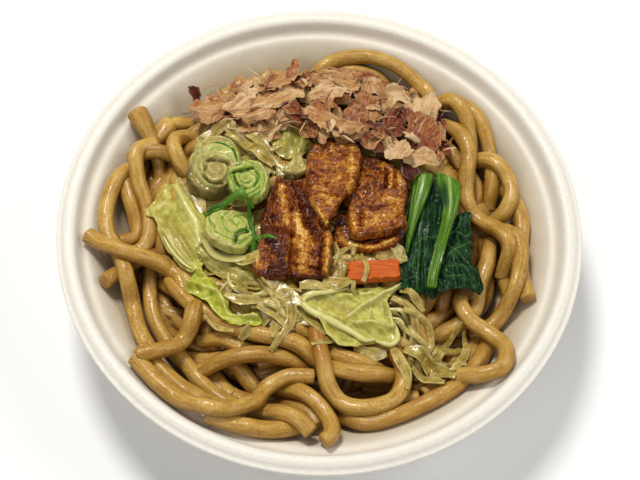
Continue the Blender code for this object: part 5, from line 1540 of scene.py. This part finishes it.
def make_leek(finish, food):
    """Three slices with loose strips of green, and a small chip."""
    draw = np.random.default_rng(SEED)
    big = Piece()
    ringed(big, "leek_big",
           ((-49, 15), (-47.5, 9), (-43, 5.5), (-37, 6), (-31.5, 10), (-29.5, 17), (-30, 25), (-35, 31),
            (-42, 30.5), (-47.5, 24)), thickness=6.0, centre=(-38, 15.5), radii=(11, 14.5),
           lines=((((-46.0, 26), (-46.0, 19), (-44.0, 12.5), (-41, 9), (-37, 7.5)), 0.5, 1.2, 0.18, 0),
                  (((-44.4, 26.5), (-44.2, 20), (-42.4, 14), (-41, 11.5)), 0.4, 0.8, 0.16, 0),
                  (((-47.6, 22), (-47.2, 17), (-45.6, 12)), 0.4, 0.7, 0.14, 0),
                  (((-43, 29.5), (-38.5, 30.2), (-34, 28), (-30.5, 22)), 0.6, 1.0, 0.15, 0),
                  (((-40.5, 27.0), (-36.5, 27.0), (-33, 24.6), (-30.8, 19.5)), 0.42, -0.3, 0.75, 0),
                  (((-41.5, 19.2), (-38, 19.6), (-34.5, 19)), 0.8, -1.7, 0.0, 0.8),
                  (((-41, 23.6), (-37.5, 24.2), (-34, 22.6)), 2.2, 0.5, 0.24, 0),
                  (((-38.2, 15.6), (-37.8, 13)), 3.0, 1.4, -0.04, 0),
                  (((-42.0, 16.5), (-42.2, 12.5), (-39.2, 9.6), (-35.4, 10)), 0.5, -1.0, 0.0, 0.6),
                  (((-34.0, 18), (-33.2, 13), (-34, 9)), 0.6, -0.6, 0.25, 0.2),
                  # painted shade on the lower left side wall of the slice
                  (((-48.8, 15), (-47.4, 9), (-43, 5.6), (-37, 5.6), (-33, 8)), 2.2, -0.4, -0.02, 0.8)),
           base_green=0.13, rounding=2.2, layers=(5, 0.5))
    big.build("leek_big_slice", finish, ["leek_big"])
    green = Piece()
    ringed(green, "leek_green",
           ((-34, 12), (-33, 6.5), (-29, 3.2), (-22, 3.0), (-18.6, 8), (-19, 14), (-23.5, 18.5), (-30, 17.8)),
           thickness=4.0, centre=(-27, 10.2), radii=(7.6, 7.6),
           lines=((((-33.2, 14), (-30, 17.2), (-24.5, 17.4), (-20.4, 14)), 0.7, 0.5, -0.14, 0),
                  (((-19.6, 14), (-19.2, 9), (-21, 5)), 0.7, 0.3, -0.16, 0),
                  (((-33.8, 11), (-32, 6), (-27, 3.8), (-22, 4)), 0.9, 0.2, 0.1, 0),
                  (((-31.8, 12.2), (-28.5, 13.4), (-25, 14.8)), 0.55, -1.5, 0.4, 0.5),
                  (((-31.2, 10.5), (-30, 7.6), (-27, 6.4)), 0.5, -1.0, 0.28, 0.2),
                  (((-23.8, 13.4), (-22.6, 10.5), (-24.2, 7.6)), 0.45, -0.8, 0.2, 0.1),
                  (((-29.3, 9.6), (-27, 9.2)), 1.7, 0.7, -0.06, 0),
                  (((-26.4, 12.2), (-24.8, 10.2)), 0.6, 0.5, -0.2, 0)), base_green=0.56, rounding=1.7,
           layers=(4.5, 0.5))
    lay_ribbon(green, draw, food.top,
               ((-40, -2.4), (-39, 0.6), (-35.8, 3.0), (-31, 3.9), (-26.5, 3.2), (-24, 1.6)),
               (0.9, 1.5, 1.6, 1.5, 1.3, 0.7), 1.3, lift=1.1, curl=-0.1, green=0.76)
    lay_ribbon(green, draw, food.top, ((-39.6, -2.6), (-37.6, 0.2), (-34.4, 1.6)), (0.5, 0.9, 0.4), 1.0,
               lift=1.6, curl=-0.1, green=0.96)
    lay_ribbon(green, draw, food.top,
               ((-25.6, 3), (-24.9, -2), (-23.8, -6.6), (-22.8, -10), (-22.4, -14), (-22.9, -16.4)),
               (0.7, 0.8, 0.9, 1.2, 1.2, 0.5), 1.0, lift=1.7, curl=-0.12, green=0.88)
    lay_ribbon(green, draw, food.top, ((-22.4, -9.4), (-18.6, -10.4), (-15, -11.8)), (0.8, 0.8, 0.3), 0.6,
               lift=0.9, green=0.8)
    green.build("leek_green_slice", finish, ["leek_green"])
    pale = Piece()
    ringed(pale, "leek_pale",
           ((-40.5, -4), (-40, -9), (-37.5, -13), (-32, -15.3), (-26, -15), (-23, -10), (-23.2, -2),
            (-25.5, 1.6), (-32, 1.6), (-38, -0.5)), thickness=4.0, centre=(-29, -4), radii=(11, 11),
           lines=((((-36.4, -4.6), (-35, -9.4)), 3.0, 0.3, 0.04, 0),
                  (((-39, -10), (-36, -13.2), (-31, -14.6)), 1.3, 0.0, -0.12, 0),
                  (((-30, -0.6), (-26.4, -3.6), (-25, -8)), 0.35, -0.4, 0.12, 0.1),
                  (((-33.4, -1.4), (-29.4, -5), (-28.8, -8)), 0.3, -0.3, 0.08, 0.05),
                  (((-36, -0.8), (-32.4, -6), (-32, -12)), 0.3, -0.25, 0.08, 0.0),
                  (((-38, -3.6), (-35.4, -8), (-35, -13)), 0.3, 0.25, -0.08, 0.0),
                  (((-38, -2.2), (-33.4, 0.2), (-27, 0.8)), 0.5, 0.4, -0.1, 0),
                  (((-25.4, -11.4), (-25.2, -11.2)), 2.9, 0.6, 0.04, 0),
                  (((-29.2, -13.5), (-29.4, -9.8), (-26.8, -7.4)), 0.45, -0.7, 0.0, 0.35)), base_green=0.44,
           rounding=1.2, layers=(3, 0.3))
    turn = np.linspace(math.radians(250), math.radians(10), 14)
    ring = np.column_stack([-25.6 + 3.4 * np.cos(turn), -11.2 + 3.6 * np.sin(turn)])
    cord(pale, food.top, ring, (0.35, 0.6, 0.6, 0.5), lift=1.15, green=0.9)
    lay_ribbon(pale, draw, food.top, ((-40.6, -12), (-36.4, -16), (-30, -17.4), (-24, -16.6)),
               (0.9, 1.9, 2.1, 1.0), 0.8, lift=1.0, curl=0.05, green=0.3)
    pale.build("leek_pale_slice", finish, ["leek_pale"])
    slab("leek_chip_piece", finish, "leek", "leek_chip",
         ((-15, 17.5), (-10, 15.8), (-5.6, 17.4), (-6.5, 21), (-9.3, 26.5), (-12, 22.5)), 1.8, step=0.4,
         ragged=0.35, rounding=1.6, lumps=0.25, crags=0.25, spacing=0.8,
         ridges=(((-9.6, 25.5), (-10.4, 17), 0.6, 0.7), ((-14, 18), (-10, 24), 0.6, 0.4)),
         green=lambda points: 0.22 + 0.08 * grain(points[:, :2], 1.5, 2))


# The way that each strand of each tangle lies, the lower ones first
SPROUTS = {
    "sprouts_back_left": (
        ((-36, 34), (-28, 32), (-20, 26), (-16, 20)),
        ((-34, 29), (-27, 26), (-20, 28), (-14, 30)),
        ((-29, 34), (-25, 30), (-22, 23), (-17, 18)),
        ((-36, 31), (-30, 28), (-24, 25), (-19, 20)),
    ),
    "sprouts_front_left": (
        ((-24, -26), (-16, -27), (-9, -31), (-5, -38)),
        ((-26, -31), (-19, -30), (-12, -27), (-5, -28)),
        ((-20, -25), (-14, -31), (-12, -38), (-14, -46)),
        ((-22, -35), (-15, -33), (-8, -34), (-4, -30)),
        ((-28, -28), (-20, -33), (-13, -35), (-7, -42)),
    ),
    "sprouts_front_right": (
        ((26, -29), (33, -33), (35, -41), (33, -48), (36, -54)),
        ((28, -37), (36, -42), (43, -47), (52, -50)),
        ((33, -49), (40, -46), (46, -40), (51, -34)),
        ((30, -33), (38, -36), (40, -43), (36, -51), (44, -56)),
        ((41, -56), (42, -49), (46, -43), (53, -42)),
    ),
    "sprouts_middle": (
        ((4, -9), (8, -13), (16, -14), (24, -12), (31, -13)),
        ((5, -15), (9, -11), (12, -9), (12, -14)),
    ),
}


def make_sprouts(food, finish):
    """Bean sprouts and onion: each tangle lies on the rest, each strand pressed into the ones before."""
    draw = np.random.default_rng(SEED)
    for name, routes in SPROUTS.items():
        own = Heap(food.top.heights)
        tangle = Piece()
        for route in routes:
            wide = draw.uniform(1.0, 1.5)
            lay_ribbon(tangle, draw, own, route, (0.7 * wide, wide, wide, 0.5 * wide), 1.5,
                       lift=0.5, curl=draw.uniform(-0.1, 0.1), drape=3)
            line = smooth_route(route, 1.0)
            own.cover(np.column_stack([line, own.rest(*line.T, 1.2) - 0.8]), 1.0)
        food.top.heights = own.heights
        tangle.build(name + "_strands", finish, [name])


# Clear strips on top: the way each lies, and its half widths from one end to the other
CLEAR_STRIPS = (
    (((26.5, -45), (29.5, -50), (32, -55), (32.5, -60)), (1.0, 1.9, 1.7, 0.6)),
    (((31, -46), (37, -48.5), (43, -51.5), (48.5, -55)), (1.6, 3.0, 3.0, 1.0)),
    (((34, -52), (39, -55), (45, -56.6)), (0.8, 1.6, 0.9)),
    (((52, -36), (52.8, -42), (50.4, -48.6), (47, -52.5)), (0.7, 1.5, 1.6, 0.7)),
    (((14, -46.6), (19, -48.6), (25, -47)), (1.2, 2.4, 1.2)),
    (((15.0, -11.5), (15.6, -15.5), (16.8, -20.5), (15.8, -25.5)), (0.4, 0.7, 0.9, 0.8)),
    (((9.5, -19), (8.6, -23), (9.4, -26.5)), (0.8, 1.0, 1.1)),
    (((12.6, -24.5), (12.8, -27.5), (14.5, -28)), (0.9, 0.9, 0.6)),
    (((-31.5, -31), (-25.5, -33), (-19, -33.4)), (1.0, 1.8, 1.2)),
    (((-18.5, -24.5), (-12, -28), (-8.5, -33), (-8.3, -40), (-11.5, -46), (-14.5, -50)),
     (1.8, 2.4, 2.0, 1.6, 1.4, 0.8)),
    (((-17, -25), (-10, -30), (-4, -33.5)), (1.6, 2.6, 1.2)),
    (((-20, -35), (-14.5, -37), (-10, -41)), (1.0, 1.6, 0.9)),
    (((-30, -16.6), (-26, -18), (-20.5, -18)), (1.6, 2.4, 1.6)),
    (((5.6, -9.5), (6.9, -13), (5.4, -17.5)), (0.4, 0.6, 0.5)),
    (((20, -12.5), (25, -13), (30, -14)), (1.4, 2.0, 1.2)),
    (((24, -9), (27.5, -11), (30, -15)), (1.2, 2.4, 1.4)),
    (((-46, 7), (-43, 4), (-41.5, 0)), (1.4, 2.0, 1.0)),
    (((-47, 31), (-40, 34), (-33, 34.5)), (1.2, 2.6, 1.6)),
    (((-52, 14), (-50, 9), (-46, 6)), (0.8, 1.6, 1.0)),
    (((-37, 33), (-30, 30.5), (-24, 26), (-18, 20.5)), (1.4, 2.6, 2.6, 1.2)),
    (((-28.5, 25), (-24, 21.5), (-19, 18)), (1.6, 2.4, 1.0)),
    (((-30, 34), (-24, 31), (-20.5, 26)), (1.2, 2.4, 1.2)),
    (((-38, -38), (-33, -42), (-27, -43.5)), (0.6, 1.3, 0.7)),
    (((29, -26), (34, -29), (37, -33)), (0.9, 1.7, 0.8)),
    (((2, -24), (7, -25), (12, -24.4)), (1.2, 2.2, 1.2)),
    (((-6, -26.5), (-1, -26), (4, -27)), (1.2, 1.8, 1.0)),
)

# Thin strands on top: the way each lies, and its radii from one end to the other
RING_STRANDS = (
    (((25, -33), (29.5, -33.6), (33, -37.4), (33.6, -42), (31, -46.5)), (0.5, 0.9, 0.9, 0.9, 0.5)),
    (((26, -36), (29, -36.6), (31, -39.4), (31, -43)), (0.4, 0.7, 0.7, 0.4)),
    (((5.4, -9), (7.2, -13), (5.8, -18)), (0.25, 0.4, 0.25)),
    (((-16.5, -31), (-13, -33.5), (-12.8, -37.5), (-15.5, -40)), (0.4, 0.7, 0.7, 0.4)),
    (((-34, -31), (-31.5, -27.5), (-30.6, -23.5)), (0.3, 0.5, 0.3)),
)

# Clear scraps: how many, how far out, and how much further round each is than the one before, in radians
SCRAPS = 120
SCRAP_REACH = 44
SCRAP_TURN = 2.39996


def make_clear_strips(food, finish):
    """Clear onion and cabbage: scraps that fill gaps below the toppings, then strips and strands on top."""
    draw = np.random.default_rng(SEED + 1)
    bare = Heap(food.noodles.heights)
    scraps = Piece()
    for k in range(SCRAPS):
        away, angle = SCRAP_REACH * math.sqrt((k + 0.5) / SCRAPS), SCRAP_TURN * k
        spot = np.array([-3 + away * math.cos(angle), -3 + 0.93 * away * math.sin(angle)])
        heading, long = draw.uniform(0, 2 * math.pi), draw.uniform(8, 17)
        way, side = ways(heading)
        bow = draw.uniform(-0.25, 0.25) * long * side
        route = (spot - 0.5 * long * way, spot + bow, spot + 0.5 * long * way)
        wide = draw.uniform(1.4, 3.2)
        half = (0.4 * wide, wide, 0.9 * wide, 0.4 * wide)
        lay_ribbon(scraps, draw, bare, route, half, draw.uniform(0.6, 1.0), lift=draw.uniform(-0.2, 0.8),
                   curl=draw.uniform(-0.06, 0.14), roll=draw.uniform(-0.35, 0.35), ceiling=food.underside,
                   dull=draw.uniform(0, 0.7))
    scraps.build("onion_scraps", finish, ["noodles"])
    strips = Piece()
    for route, half in CLEAR_STRIPS:
        lay_ribbon(strips, draw, food.top, route, half, 0.8, lift=draw.uniform(0.2, 0.7),
                   curl=draw.uniform(0.02, 0.16), drape=3)
    for route, widths in RING_STRANDS:
        cord(strips, food.top, route, widths, lift=0.3, vein=0.75)
    strips.build("onion_strips", finish, ["noodles"])


# Broad shavings, the lower ones first: the outline of each, then how far it stands off the heap, how red it
# is, and the way of its grain in degrees
FLAKES = (
    ((-51, 48), (-49, 45), (-44, 44.5), (-38, 46), (-36, 50), (-35, 55), (-40, 56), (-46, 52), 0.9, 0.34, 15),
    ((-47, 37), (-42, 36.5), (-38.5, 38.5), (-38.5, 44), (-43, 45), (-48, 43), 0.7, 0.24, 60),
    ((-52, 52), (-50, 50), (-47.6, 52), (-48.6, 55), (-51.4, 54.6), 1.6, 0.98, 40),
    ((-34, 56), (-30, 55), (-26, 58), (-28, 62), (-34, 61.6), 0.8, 0.22, 70),
    ((-26, 56), (-18, 56.4), (-14, 60), (-18, 63), (-25, 60.6), 1.2, 0.2, 15),
    ((-26, 52.6), (-19, 53.4), (-12, 58), (-8.6, 62), (-13, 64), (-20, 58), 1.5, 0.28, 40),
    ((-5, 63), (2, 61.4), (10, 62), (19, 63.6), (17, 67), (6, 67.6), (-3, 66.4), 0.6, 0.5, 5),
    ((-13, 57.6), (-9, 54.6), (-4.4, 58), (-5.6, 62.6), (-12, 62.6), 1.5, 0.44, 80),
    ((-6, 58), (-3.4, 55.6), (4, 55.6), (11, 55.8), (12.4, 60.4), (6, 64.4), (-1.6, 64), 1.6, 0.2, 10),
    ((13, 61), (15, 56), (22, 55.6), (25, 60), (18, 63.6), 1.0, 0.26, 100),
    ((20, 53), (24, 51.4), (29, 53), (32, 56.4), (29, 60.6), (23, 60), 1.5, -0.1, 30),
    ((29, 50), (33, 47), (39, 47), (42.4, 53), (41, 59.6), (35, 57.6), 1.4, 0.12, 80),
    ((-38.6, 43), (-36, 41), (-31.6, 41.4), (-28.4, 46.6), (-26, 51.6), (-30, 54), (-34.6, 50), 1.8, -0.04,
     50),
    ((-36, 40.6), (-33, 38), (-27, 38), (-20, 42), (-12.6, 45.6), (-9, 51.6), (-15, 56.4), (-24, 53.4),
     (-31.6, 49), (-35, 44.6), 2.4, 0.16, 38),
    ((-34.6, 40.6), (-32, 36.4), (-24, 36.4), (-18.6, 39), (-19.6, 43.4), (-27, 44.4), 3.3, 0.26, 20),
    ((19, 54), (20, 48), (28, 47.6), (31, 51.6), (25, 55.4), 2.0, 0.2, 60),
    ((12, 50), (13, 43), (17, 41.4), (21, 46), (19.6, 52), (15, 53), 2.6, 0.44, 75),
    ((-7, 50), (-2.4, 48.4), (4, 50), (7, 54.4), (2.4, 58), (-4, 56), 3.0, 0.14, 20),
    ((-6.4, 46.6), (-4.6, 42.4), (0.4, 42.4), (3.4, 46.4), (-1, 50.4), 2.2, 0.48, 100),
    ((5, 38), (9, 35.4), (14.4, 37), (20.4, 40.4), (17, 45.6), (10, 43.6), 2.8, 0.58, 25),
    ((-16.4, 42), (-13.6, 38), (-9.6, 36), (-5.6, 38.6), (-8.4, 42.6), (-12, 45.4), 2.0, 0.7, 140),
    ((-8.4, 40.6), (-5.4, 35), (-1.4, 30.6), (5, 27.6), (12, 28.6), (15, 31.6), (10.4, 35), (5, 38.6),
     (-2, 42), 2.8, 0.28, -25),
    ((4, 33), (5, 28.6), (10.4, 28), (14.4, 31.6), (9, 34), 3.8, 0.36, -10),
    ((19.6, 37), (20.6, 33), (24, 31.6), (28, 35), (29.6, 41.6), (30, 48.4), (27, 49.6), (22, 44.6), 3.4, 0.8,
     75),
    ((30, 41), (31, 33.6), (36, 29.4), (41.4, 31.6), (43.6, 38.6), (41.4, 45.6), (34, 49.4), (30, 47.6), 2.2,
     0.64, 95),
    ((33, 44.6), (35, 36), (39, 34.4), (42, 38.6), (40, 45), 3.4, 0.54, 60),
    ((27, 31), (29, 27), (32.4, 28), (33.4, 31.6), (30.4, 33.6), 3.0, 1.0, 20),
    ((20.6, 30), (21.6, 24.6), (26.6, 22), (31.4, 24), (30.6, 29.6), (25, 33.4), 2.6, 0.06, 70),
    ((26.6, 26), (28, 22.4), (34, 21.4), (41.4, 23.4), (40.4, 27.4), (33, 28.6), 2.2, 0.16, 0),
    ((28.6, 36.6), (30, 33), (33.4, 32.6), (33.6, 35), 4.2, -0.12, 20),
)

# The outline of the whole heap of shavings
BONITO_OUTLINE = ((-8, 30), (6, 26), (22, 26), (32, 22), (42, 28), (44, 44), (39, 56), (22, 62), (6, 63),
                  (-12, 65), (-28, 63), (-42, 57), (-52, 50), (-50, 39), (-36, 36), (-22, 37))

# How many shavings lie at random below those of the table, how many small ones above them, and thin shreds
LOWER_SHAVINGS = 80
SMALL_SHAVINGS = 34
SHREDS = 120
SHAVING_THICKNESS = 0.16


def make_bonito(finish):
    """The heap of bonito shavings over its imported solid: those of the table among others laid at random."""
    draw = np.random.default_rng(SEED)
    mat = surface("bonito_flakes")
    outline = smooth_route(BONITO_OUTLINE, 1.0, closed=True)
    middle = outline.mean(axis=0)
    flakes = Piece()

    def within(share):
        """A random place, this share of the way from the middle to the outline."""
        return middle + (outline[draw.integers(len(outline))] - middle) * share

    def reddish(spot):
        """How much redder the shavings are towards the front right."""
        return 0.45 * smoothstep((spot[0] - 8) / 16) * smoothstep((52 - spot[1]) / 12)

    for _ in range(LOWER_SHAVINGS):
        spot = within(math.sqrt(draw.uniform(0.02, 1)) * 0.98)
        long = draw.uniform(8, 16)
        shaving(flakes, draw, spot, long, long * draw.uniform(0.45, 0.8), draw.uniform(0, 2 * math.pi),
                draw.uniform(-0.2, 0.2), draw.uniform(-0.35, 0.35),
                draw.choice((0.15, 0.28, 0.40, 0.56)) + reddish(spot), draw.uniform(-1.0, 0.6), mat)
    for *corners, lift, red, heading in FLAKES:
        flake(flakes, draw, mat, corners, lift, red, math.radians(heading))
    for _ in range(SMALL_SHAVINGS):
        spot = within(math.sqrt(draw.uniform(0.02, 1)))
        long = draw.uniform(2.5, 7)
        shaving(flakes, draw, spot, long, long * draw.uniform(0.2, 0.6), draw.uniform(0, 2 * math.pi),
                draw.uniform(-0.5, 0.5), draw.uniform(-0.9, 0.9),
                draw.choice((-0.1, 0.1, 0.35, 0.6, 0.9)) + reddish(spot), draw.uniform(1.6, 3.6), mat)
    flakes.build("bonito_shavings", finish, ["bonito_flakes"])
    shreds = Piece()
    for _ in range(SHREDS):
        spot = within(math.sqrt(draw.uniform(0.02, 1)) * 1.07)
        shaving(shreds, draw, spot, draw.uniform(2.0, 9), draw.uniform(0.3, 1.0),
                draw.uniform(0, 2 * math.pi), draw.uniform(-0.4, 0.4), draw.uniform(-1.2, 1.2),
                draw.choice((-0.1, 0.1, 0.6, 0.95)), draw.uniform(1.6, 4.0), mat,
                bend=draw.uniform(-0.08, 0.12))
    shreds.build("bonito_shreds", finish, ["bonito_flakes"])


# ---------------------------------------------------------------- the view


# The camera, in metres and degrees, its lens in millimetres
CAMERA_TARGET = Vector((0.0002, -0.0088, 0.040))
CAMERA_DISTANCE = 0.45
CAMERA_ELEVATION = 62.47
CAMERA_ROLL = 3.249
CAMERA_LENS = 72.31

# Soft lights, in metres and watts: name, place, size, power and colour. All point at LIT_SPOT.
LIGHTS = (
    ("key", (-0.2, 0.36, 0.9), 0.26, 6.6, (1.0, 0.98, 0.95)),
    ("side", (0.75, 0.1, 0.8), 0.5, 2.6, (1.0, 1.0, 1.0)),
    ("front", (-0.4, -0.7, 0.9), 0.6, 2.2, (1.0, 1.0, 1.0)),
)
LIT_SPOT = Vector((0, 0, 0.03))
ROOM_COLOUR = (1.0, 0.99, 0.97, 1.0)
ROOM_STRENGTH = 0.28
FLOOR_REACH = 3.0


def add_camera():
    """Looks down on the tray from the eater's side, held a little askew."""
    elevation, roll = math.radians(CAMERA_ELEVATION), math.radians(CAMERA_ROLL)
    back = Vector((0, -math.cos(elevation), math.sin(elevation)))
    right = Vector((1, 0, 0))
    up = right.cross(-back)
    x = right * math.cos(roll) + up * math.sin(roll)
    y = -right * math.sin(roll) + up * math.cos(roll)
    data = bpy.data.cameras.new("camera")
    data.sensor_width = 36
    data.lens = CAMERA_LENS
    camera = bpy.data.objects.new("camera", data)
    camera.matrix_world = Matrix((x, y, back)).transposed().to_4x4()
    camera.location = CAMERA_TARGET + back * CAMERA_DISTANCE
    bpy.context.scene.collection.objects.link(camera)
    bpy.context.scene.camera = camera


def area_light(name, place, size, power, colour):
    """A round soft light that points at the food."""
    data = bpy.data.lights.new(name, "AREA")
    data.shape = "DISK"
    data.size = size
    data.energy = power
    data.color = colour
    light = bpy.data.objects.new(name, data)
    light.location = place
    light.rotation_euler = (LIT_SPOT - Vector(place)).to_track_quat("-Z", "Y").to_euler()
    bpy.context.scene.collection.objects.link(light)


def add_stage():
    """A plain pale floor, soft lights from above, and a pale room."""
    mesh = bpy.data.meshes.new("floor")
    corners = [(FLOOR_REACH * x, FLOOR_REACH * y, 0) for x, y in ((-1, -1), (1, -1), (1, 1), (-1, 1))]
    mesh.from_pydata(corners, [], [(0, 1, 2, 3)])
    f = Finish("floor_white", 0.7)
    f.set(Base_Color=f.ramp(f.noise(300.0, 2), (0.3, (0.92, 0.92, 0.92)), (0.7, (0.95, 0.95, 0.95))))
    mesh.materials.append(f.made)
    floor = bpy.data.objects.new("floor", mesh)
    bpy.context.scene.collection.objects.link(floor)
    world = bpy.data.worlds.new("room")
    world.use_nodes = True
    room = world.node_tree.nodes["Background"].inputs
    room["Color"].default_value = ROOM_COLOUR
    room["Strength"].default_value = ROOM_STRENGTH
    bpy.context.scene.world = world
    bpy.context.scene.view_settings.view_transform = "Standard"
    for light in LIGHTS:
        area_light(*light)


def main():
    """Makes it all, from the tray up, so that each part can rest on what is there."""
    # the sprouts are left out, as they are laid on the rest
    toppings = [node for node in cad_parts
                if node not in ("tray", "noodles") and not node.startswith("sprouts")]
    food = Food(toppings)
    make_tray(foam_finish())
    core = make_core(shaded_core_finish())
    make_noodles(food, udon_finish(), core)
    make_pork(pork_finish())
    make_carrot(carrot_finish())
    make_greens(leaf_finish(), stem_finish())
    cabbage = cabbage_finish("cabbage", (0.70, 0.63, 0.18), (0.54, 0.49, 0.09), (0.34, 0.31, 0.045))
    bright = cabbage_finish("cabbage_bright", (0.64, 0.60, 0.09), (0.48, 0.50, 0.045), (0.30, 0.34, 0.02))
    clear = cabbage_finish("cabbage_clear", (0.50, 0.43, 0.10), (0.36, 0.29, 0.045), (0.22, 0.17, 0.02), 0.08)
    make_cabbage(cabbage, bright, clear)
    make_leek(leek_finish(), food)
    onion = cabbage_finish("sprout", (0.66, 0.52, 0.17), (0.46, 0.33, 0.07), (0.27, 0.17, 0.022), 0.12)
    make_sprouts(food, onion)
    make_clear_strips(food, onion)
    make_bonito(bonito_finish())
    add_stage()
    add_camera()


main()
